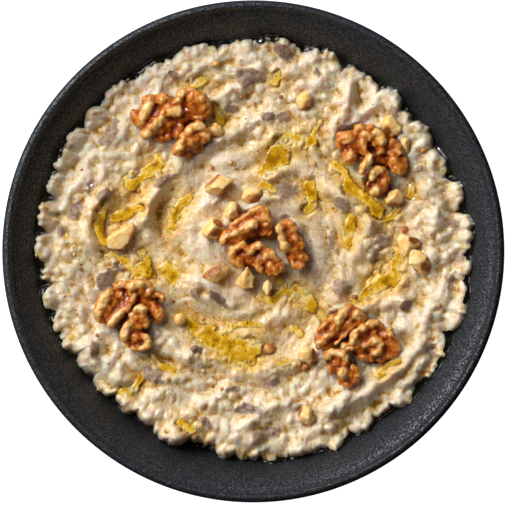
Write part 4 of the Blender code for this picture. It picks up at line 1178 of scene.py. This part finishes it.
def sampled(field, x, y):
    # bilinear reading of a grid
    u = (np.asarray(x) + dip["gridHalf"]) / dip["gridStep"]
    v = (np.asarray(y) + dip["gridHalf"]) / dip["gridStep"]
    i = np.clip(u.astype(int), 0, len(gridLine) - 2)
    j = np.clip(v.astype(int), 0, len(gridLine) - 2)
    fu, fv = np.clip(u - i, 0, 1), np.clip(v - j, 0, 1)
    return ((field[i, j] * (1 - fu) + field[i + 1, j] * fu) * (1 - fv)
            + (field[i, j + 1] * (1 - fu) + field[i + 1, j + 1] * fu) * fv)


relief, flesh, fleshDark, oilLevel = makeRelief()
pooled = np.clip((oilLevel - relief + 0.3) / 0.5, 0, 1)
stain = np.clip(2.2 * blurred(pooled, 1.3) + 2.4 * blurred(pooled, 4.0) + 0.8 * blurred(pooled, 11.0), 0, 1)
dipMeasures = {
    "hollow": blurred(relief, 2.4) - relief, "crease": blurred(relief, 0.8) - relief,
    "flesh": flesh, "fleshDark": fleshDark, "stain": stain,
}
print("relief ready")


def discPlaces(cells):
    # a square of cells turned into a disc: share of the radius and angle
    line = np.linspace(-1, 1, cells + 1)
    a, b = np.meshgrid(line, line, indexing="ij")
    wide = np.abs(a) >= np.abs(b)
    share = np.where(wide, np.abs(a), np.abs(b))
    with np.errstate(divide="ignore", invalid="ignore"):
        slant = np.where(wide, b / a, a / b) * math.pi / 4
    slant = np.nan_to_num(slant)
    angle = np.where(wide, np.where(a >= 0, slant, math.pi + slant),
                     np.where(b >= 0, math.pi / 2 - slant, -math.pi / 2 - slant))
    return share, angle


def dipTop(edge, lobe, radius, angle):
    # the relief carried out to the edge, where it is lifted clear of the wall
    x, y = radius * np.cos(angle), radius * np.sin(angle)
    inward = edge - radius
    fall = 0.7 * np.maximum(inward - 2.5, 0)
    seat = wallHeight(edge) - 0.3
    top = sampled(relief, x, y) + dip["lobeRise"] * (lobe - 0.6) * np.exp(-inward / 2.5)
    top = top + np.maximum(0, seat + 1.9 - fall - sampled(blurred(relief, 2.5), x, y))
    return np.maximum(top, seat + 0.6 - fall), seat


def makeDip():
    cells, roll, rollShare = dip["cells"], dip["roll"], dip["rollShare"]
    share, angle = discPlaces(cells)
    edge, lobe = edgeRadius(angle)
    flat = share < rollShare
    bend = np.clip((share - rollShare) / (1 - rollShare), 0, 1) * dip["rollTurn"]
    radius = np.where(flat, share / rollShare * (edge - roll), edge - roll + roll * np.sin(bend))
    top, seat = dipTop(edge, lobe, radius, angle)
    height = np.where(flat, top, seat + (top - seat) * np.cos(bend))
    points = [np.stack([radius * np.cos(angle), radius * np.sin(angle), height], -1).reshape(-1, 3)]
    side = cells + 1
    index = np.arange(side * side).reshape(side, side)
    faces = np.stack([index[:-1, :-1], index[1:, :-1], index[1:, 1:], index[:-1, 1:]], -1)
    faces = faces.reshape(-1, 4).tolist()
    ring = np.concatenate([index[:-1, 0], index[-1, :-1], index[:0:-1, -1], index[0, :0:-1]])
    ringAngle, ringRadius = angle.ravel()[ring], radius.ravel()[ring]
    count, total = len(ring), side * side
    for part in dip["underRings"]:
        r = ringRadius * part
        low = wallHeight(r) + dip["underGap"]
        points.append(np.stack([r * np.cos(ringAngle), r * np.sin(ringAngle), low], -1))
        fresh = np.arange(total, total + count)
        for i in range(count):
            j = (i + 1) % count
            faces.append([int(ring[j]), int(fresh[j]), int(fresh[i]), int(ring[i])])
        ring, total = fresh, total + count
    points.append(np.array([[0, 0, bowl["floorTop"] + dip["underGap"]]]))
    faces += [[int(ring[(i + 1) % count]), total, int(ring[i])] for i in range(count)]
    points = np.concatenate(points)
    piece = buildMesh("dipSwirled", points, faces)
    inside = np.hypot(points[:, 0], points[:, 1]) < 90
    for name, field in dipMeasures.items():
        setMeasure(piece.data, name, np.where(inside, sampled(field, points[:, 0], points[:, 1]), 0))
    return piece


def dipFinish():
    cream = Finish("dipCream")
    blotch = cream.grain(9, 4, 0.6)
    cloud = cream.grain(15, 3, 0.55)
    curd = cream.grain(2.4, 3, 0.6)
    speckle = cream.grain(1.0, 2, 0.6)
    fine = cream.grain(0.45, 2, 0.6)
    # painted shade and highlight: the cream turns darker and browner in hollows and creases and paler on
    # crests, mixed with its own blotchy tone and oil-soaked browns
    depth = (cream.measure("hollow") * 0.17 + cream.measure("crease") * 0.80 + (curd - 0.5) * 1.1
             + (blotch - 0.5) * 1.1 + (speckle - 0.5) * 0.7 + (fine - 0.5) * 0.5 + 0.37)
    tone = cream.ramp(
        depth, (0.0, (0.90, 0.80, 0.675)), (0.35, (0.885, 0.75, 0.56)), (0.6, (0.84, 0.63, 0.335)),
        (0.85, (0.66, 0.385, 0.08)), (1.0, (0.46, 0.21, 0.02)),
    )
    tone = cream.mix(cream.between(cloud, 0.54, 0.70) * 0.5, tone, (0.90, 0.83, 0.76), "MULTIPLY")
    # fine grain darkening: the cream's own grain and also painted shade of its tiny curds
    tone = cream.mix(cream.between(fine, 0.36, 0.64), tone, (0.84, 0.80, 0.71), "MULTIPLY")
    stain = cream.measure("stain") * (0.4 + 0.6 * cream.between(blotch + curd, 0.7, 1.1))
    tone = cream.mix(stain * 0.8, tone, (0.93, 0.68, 0.15), "MULTIPLY")
    darkness = cream.measure("fleshDark") + (speckle - 0.5) * 2.0
    soft = cream.mix(darkness, (0.44, 0.30, 0.20), (0.20, 0.115, 0.072))
    # paler flecks on the aubergine: partly its own mottling, partly painted glints of its wet skin
    soft = cream.mix(cream.between(fine, 0.5, 0.7) * 0.4, soft, (0.56, 0.43, 0.33))
    tone = cream.mix(cream.between(cream.measure("flesh") + (curd - 0.5) * 1.1, 0.2, 0.7), tone, soft)
    tone = cream.mix(cream.between(speckle, 0.68, 0.74) * 0.6, tone, (0.30, 0.15, 0.03))
    cream.shade(
        Base_Color=tone, Roughness=0.42, Specular_IOR_Level=0.2, Subsurface_Weight=0.85,
        Subsurface_Scale=0.0028, Subsurface_Radius=(1.0, 0.55, 0.24), Coat_Weight=0.5, Coat_Roughness=0.07,
        Normal=cream.bump(speckle * 0.5 + fine * 0.5 + curd * 0.3, 1.1, 0.9),
    )
    return cream


def makeOil():
    # a skin over each pool, kept as its own closed mesh; its rims lie under the dip
    step = 2
    level, low = oilLevel[::step, ::step], relief[::step, ::step]
    x, y = gridX[::step, ::step], gridY[::step, ::step]
    wet = level > low - 0.5
    cells = wet[:-1, :-1] & wet[1:, :-1] & wet[1:, 1:] & wet[:-1, 1:]
    used = np.zeros_like(wet)
    for part in (used[:-1, :-1], used[1:, :-1], used[1:, 1:], used[:-1, 1:]):
        part |= cells
    number = np.full(used.shape, -1)
    number[used] = np.arange(used.sum())
    count = int(used.sum())
    deep = np.maximum(level - low, 0)
    lift = 0.03 * np.exp(-deep / 0.25)
    tops = np.stack([x[used], y[used], (level + lift)[used]], -1)
    lows = np.stack([x[used], y[used], np.minimum(low - 0.6, level - 0.6)[used]], -1)
    quads = np.stack([number[:-1, :-1], number[1:, :-1], number[1:, 1:], number[:-1, 1:]], -1)[cells]
    faces = quads.tolist() + (quads[:, ::-1] + count).tolist()
    edges = {}
    for quad in quads.tolist():
        for a, b in zip(quad, quad[1:] + quad[:1]):
            if edges.pop((b, a), None) is None:
                edges[(a, b)] = True
    faces += [[b, a, a + count, b + count] for a, b in edges]
    points = np.concatenate([tops, lows])
    piece = buildMesh("oilPools", points, faces)
    setMeasure(piece.data, "deep", np.tile(deep[used], 2))
    return piece


def oilFinish():
    oil = Finish("oliveOil")
    speckle = oil.grain(1.1, 2, 0.6)
    cloud = oil.grain(3.0, 2, 0.5)
    tone = oil.ramp(oil.measure("deep") * 0.42 + (cloud - 0.5) * 1.5 + (speckle - 0.5) * 0.7,
                    (0.0, (0.88, 0.62, 0.22)), (0.14, (0.83, 0.53, 0.085)), (0.38, (0.70, 0.39, 0.016)),
                    (0.75, (0.52, 0.255, 0.006)), (1.0, (0.32, 0.14, 0.003)))
    tone = oil.mix(oil.between(speckle, 0.64, 0.70), tone, (0.12, 0.05, 0.003))
    oil.shade(Base_Color=tone, Roughness=0.07, Normal=oil.bump(cloud + speckle * 0.3, 0.5, 0.5))
    return oil


rim = {"steps": 720, "across": 9, "under": 1.6, "reach": 0.8, "wander": 0.45, "sag": 0.3}


def makeWetRim():
    # dark oil lying between the dip and the wall, a concave ring that fills the notches
    angle = np.arange(rim["steps"]) * math.tau / rim["steps"]
    edge = edgeRadius(angle)[0]
    spread = np.exp(-((np.arange(-24, 25) / 9.0) ** 2))
    smooth = np.convolve(np.concatenate([edge[-24:], edge, edge[:24]]), spread / spread.sum(), "valid")
    wander = smoothNoise(flat3(90 * np.cos(angle), 90 * np.sin(angle)), 8, 71)
    outer = np.maximum(0.6 * smooth + 0.4 * edge, edge - 0.4) + rim["reach"] + rim["wander"] * wander
    inner = edge - rim["under"]
    share = np.linspace(0, 1, rim["across"])
    radius = inner[:, None] + (outer - inner)[:, None] * share
    level = wallHeight(outer) + 0.04
    top = level[:, None] - rim["sag"] * (1 - (2 * share - 1) ** 2) + 0.25 * (1 - share) ** 2
    low = np.minimum(wallHeight(radius) + 0.02, top - 0.02)
    radius = np.concatenate([radius, radius[:, ::-1]], 1)
    height = np.concatenate([top, low[:, ::-1]], 1)
    points = np.stack([radius * np.cos(angle)[:, None], radius * np.sin(angle)[:, None], height], -1)
    around = radius.shape[1]
    index = np.arange(rim["steps"] * around).reshape(rim["steps"], around)
    ahead, beside = np.roll(index, -1, 0), np.roll(index, -1, 1)
    faces = np.stack([index, beside, np.roll(ahead, -1, 1), ahead], -1).reshape(-1, 4)
    piece = buildMesh("wetRim", points.reshape(-1, 3), faces.tolist())
    film = Finish("darkOil")
    cloud = film.grain(4, 2, 0.5)
    tone = film.mix(film.between(cloud, 0.4, 0.7), (0.004, 0.0035, 0.002), (0.020, 0.013, 0.002))
    film.shade(Base_Color=tone, Roughness=0.05, Normal=film.bump(film.grain(1.6, 2, 0.5), 0.25, 0.6))
    return dress(piece, film, "oil")


def scatterBits(name, places, jagged, seed):
    # small lumps as one mesh: x, y, z, length, width, height, turn
    points, faces = [], []
    for number, (x, y, z, length, width, tall, turn) in enumerate(places):
        body = ballCoarse * np.array([length, width, tall]) / 2
        body = body * (1 + jagged * smoothNoise(ballCoarse + 7.0 * number, 0.8, seed))[:, None]
        c, s = math.cos(turn), math.sin(turn)
        points.append(np.stack([x + body[:, 0] * c - body[:, 1] * s, y + body[:, 0] * s + body[:, 1] * c,
                                z + body[:, 2]], -1))
        faces.append(ballCoarseFaces + number * len(ballCoarse))
    return buildMesh(name, np.concatenate(points), np.concatenate(faces).tolist())


def clearOfToppings(x, y, gap):
    near = [math.hypot(x - bx, y - by) > halfWidth + gap for folds in walnutFolds.values()
            for _, _, bx, by, _, _, halfWidth, _ in folds if halfWidth > 2]
    for corners in nutCorners.values():
        middle = np.mean(corners, axis=0)
        near.append(math.hypot(x - middle[0], y - middle[1]) > 3 + gap)
    return all(near)


def scatterPlaces(number, seed, reach):
    chance = random.Random(seed)
    while number:
        angle, radius = chance.uniform(0, math.tau), reach * math.sqrt(chance.random())
        x, y = radius * math.cos(angle), radius * math.sin(angle)
        if clearOfToppings(x, y, 0.6):
            number -= 1
            yield x, y, chance


def topOf(x, y):
    return float(max(sampled(relief, x, y), sampled(oilLevel, x, y)))


def makeFlecks():
    places = []
    for x, y, chance in scatterPlaces(900, 81, 82):
        if chance.random() > 0.10 + 0.5 * float(sampled(stain, x, y)):
            continue
        size = chance.uniform(0.28, 0.62)
        places.append((x, y, topOf(x, y) + 0.02, size * chance.uniform(1, 1.7), size, 0.3,
                       chance.uniform(0, 3.1)))
    piece = scatterBits("darkFlecks", places, 0.25, 5)
    fleck = Finish("fleck")
    tone = fleck.ramp(fleck.grain(6, 1, 0.5), (0.35, (0.06, 0.028, 0.004)), (0.5, (0.18, 0.095, 0.012)),
                      (0.65, (0.26, 0.07, 0.012)))
    fleck.shade(Base_Color=tone, Roughness=0.35)
    return dress(piece, fleck, "aubergine")


# small bits with a place of their own: x, y, length, width, height, turn
crumbs = (
    (68, 40.5, 2.6, 2, 1.6, 0.4), (61, 9, 3.6, 3, 2.4, 0.2), (20.5, -46, 3.2, 2.6, 2.2, 0.7),
    (18.5, -45, 2.6, 2, 1.8, 1.9), (-56, 5, 3, 2.6, 2, 0.5), (11, 62, 1.8, 1.5, 1.2, 0.3),
    (-5, 62, 2, 1.6, 1.3, 1), (6, -39, 4.8, 4.2, 1.8, 0.5), (-15, 75, 3.8, 2.8, 1.8, 0.1),
)


def makeCrumbs():
    places = [(x, y, topOf(x, y) + tall * 0.18, length, width, tall, turn)
              for x, y, length, width, tall, turn in crumbs]
    for x, y, chance in scatterPlaces(46, 83, 78):
        size = chance.uniform(0.8, 1.7)
        places.append((x, y, topOf(x, y) + size * 0.1, size * chance.uniform(1, 1.5), size, size * 0.7,
                       chance.uniform(0, 3.1)))
    piece = scatterBits("nutCrumbs", places, 0.42, 6)
    crumb = Finish("crumb")
    tone = crumb.ramp(crumb.grain(5, 2, 0.6), (0.36, (0.34, 0.08, 0.010)), (0.5, (0.60, 0.22, 0.035)),
                      (0.62, (0.80, 0.48, 0.15)))
    crumb.shade(Base_Color=tone, Roughness=0.4, Coat_Weight=0.3, Coat_Roughness=0.1,
                Normal=crumb.bump(crumb.grain(0.4, 2, 0.6), 0.2, 0.8))
    return dress(piece, crumb, "chopped_nut")


# bubbles on the oil: x, y, radius
bubbles = (
    (14, 38.2, 0.95), (25, 18.5, 1.1), (23.9, 20.2, 0.8), (26.4, 17, 0.7), (24.4, 17.2, 0.6),
    (-45, -3.2, 0.8), (-43.8, -1.6, 0.6), (46.8, -15, 0.7), (41, -19.5, 0.8), (40, 6, 0.6),
    (56.6, 10, 0.6), (-38, -11, 0.7), (9, 33.5, 0.5), (-30, 14, 0.5), (-8, -35.4, 0.6), (-3, -44, 0.8),
    (-1.6, -44.6, 0.6), (23, -42, 0.5), (-47, 30, 0.5), (52.4, 13.6, 0.6),
)


def makeBubbles():
    places = [(x, y, topOf(x, y), radius * 2, radius * 2, radius * 1.5, 0.0) for x, y, radius in bubbles]
    piece = scatterBits("oilBubbles", places, 0.0, 7)
    bubble = Finish("bubble")
    bubble.shade(
        Base_Color=(0.72, 0.55, 0.22), Roughness=0.03, Alpha=0.45, Coat_Weight=1.0, Coat_Roughness=0.03,
    )
    return dress(piece, bubble, "oil")


dress(makeDip(), dipFinish(), "dip", "baba_ganoush")
dress(makeOil(), oilFinish(), "oil")
makeWetRim()
makeFlecks()
makeCrumbs()
makeBubbles()
print("dip ready")

makeWalnuts()
makeNuts()
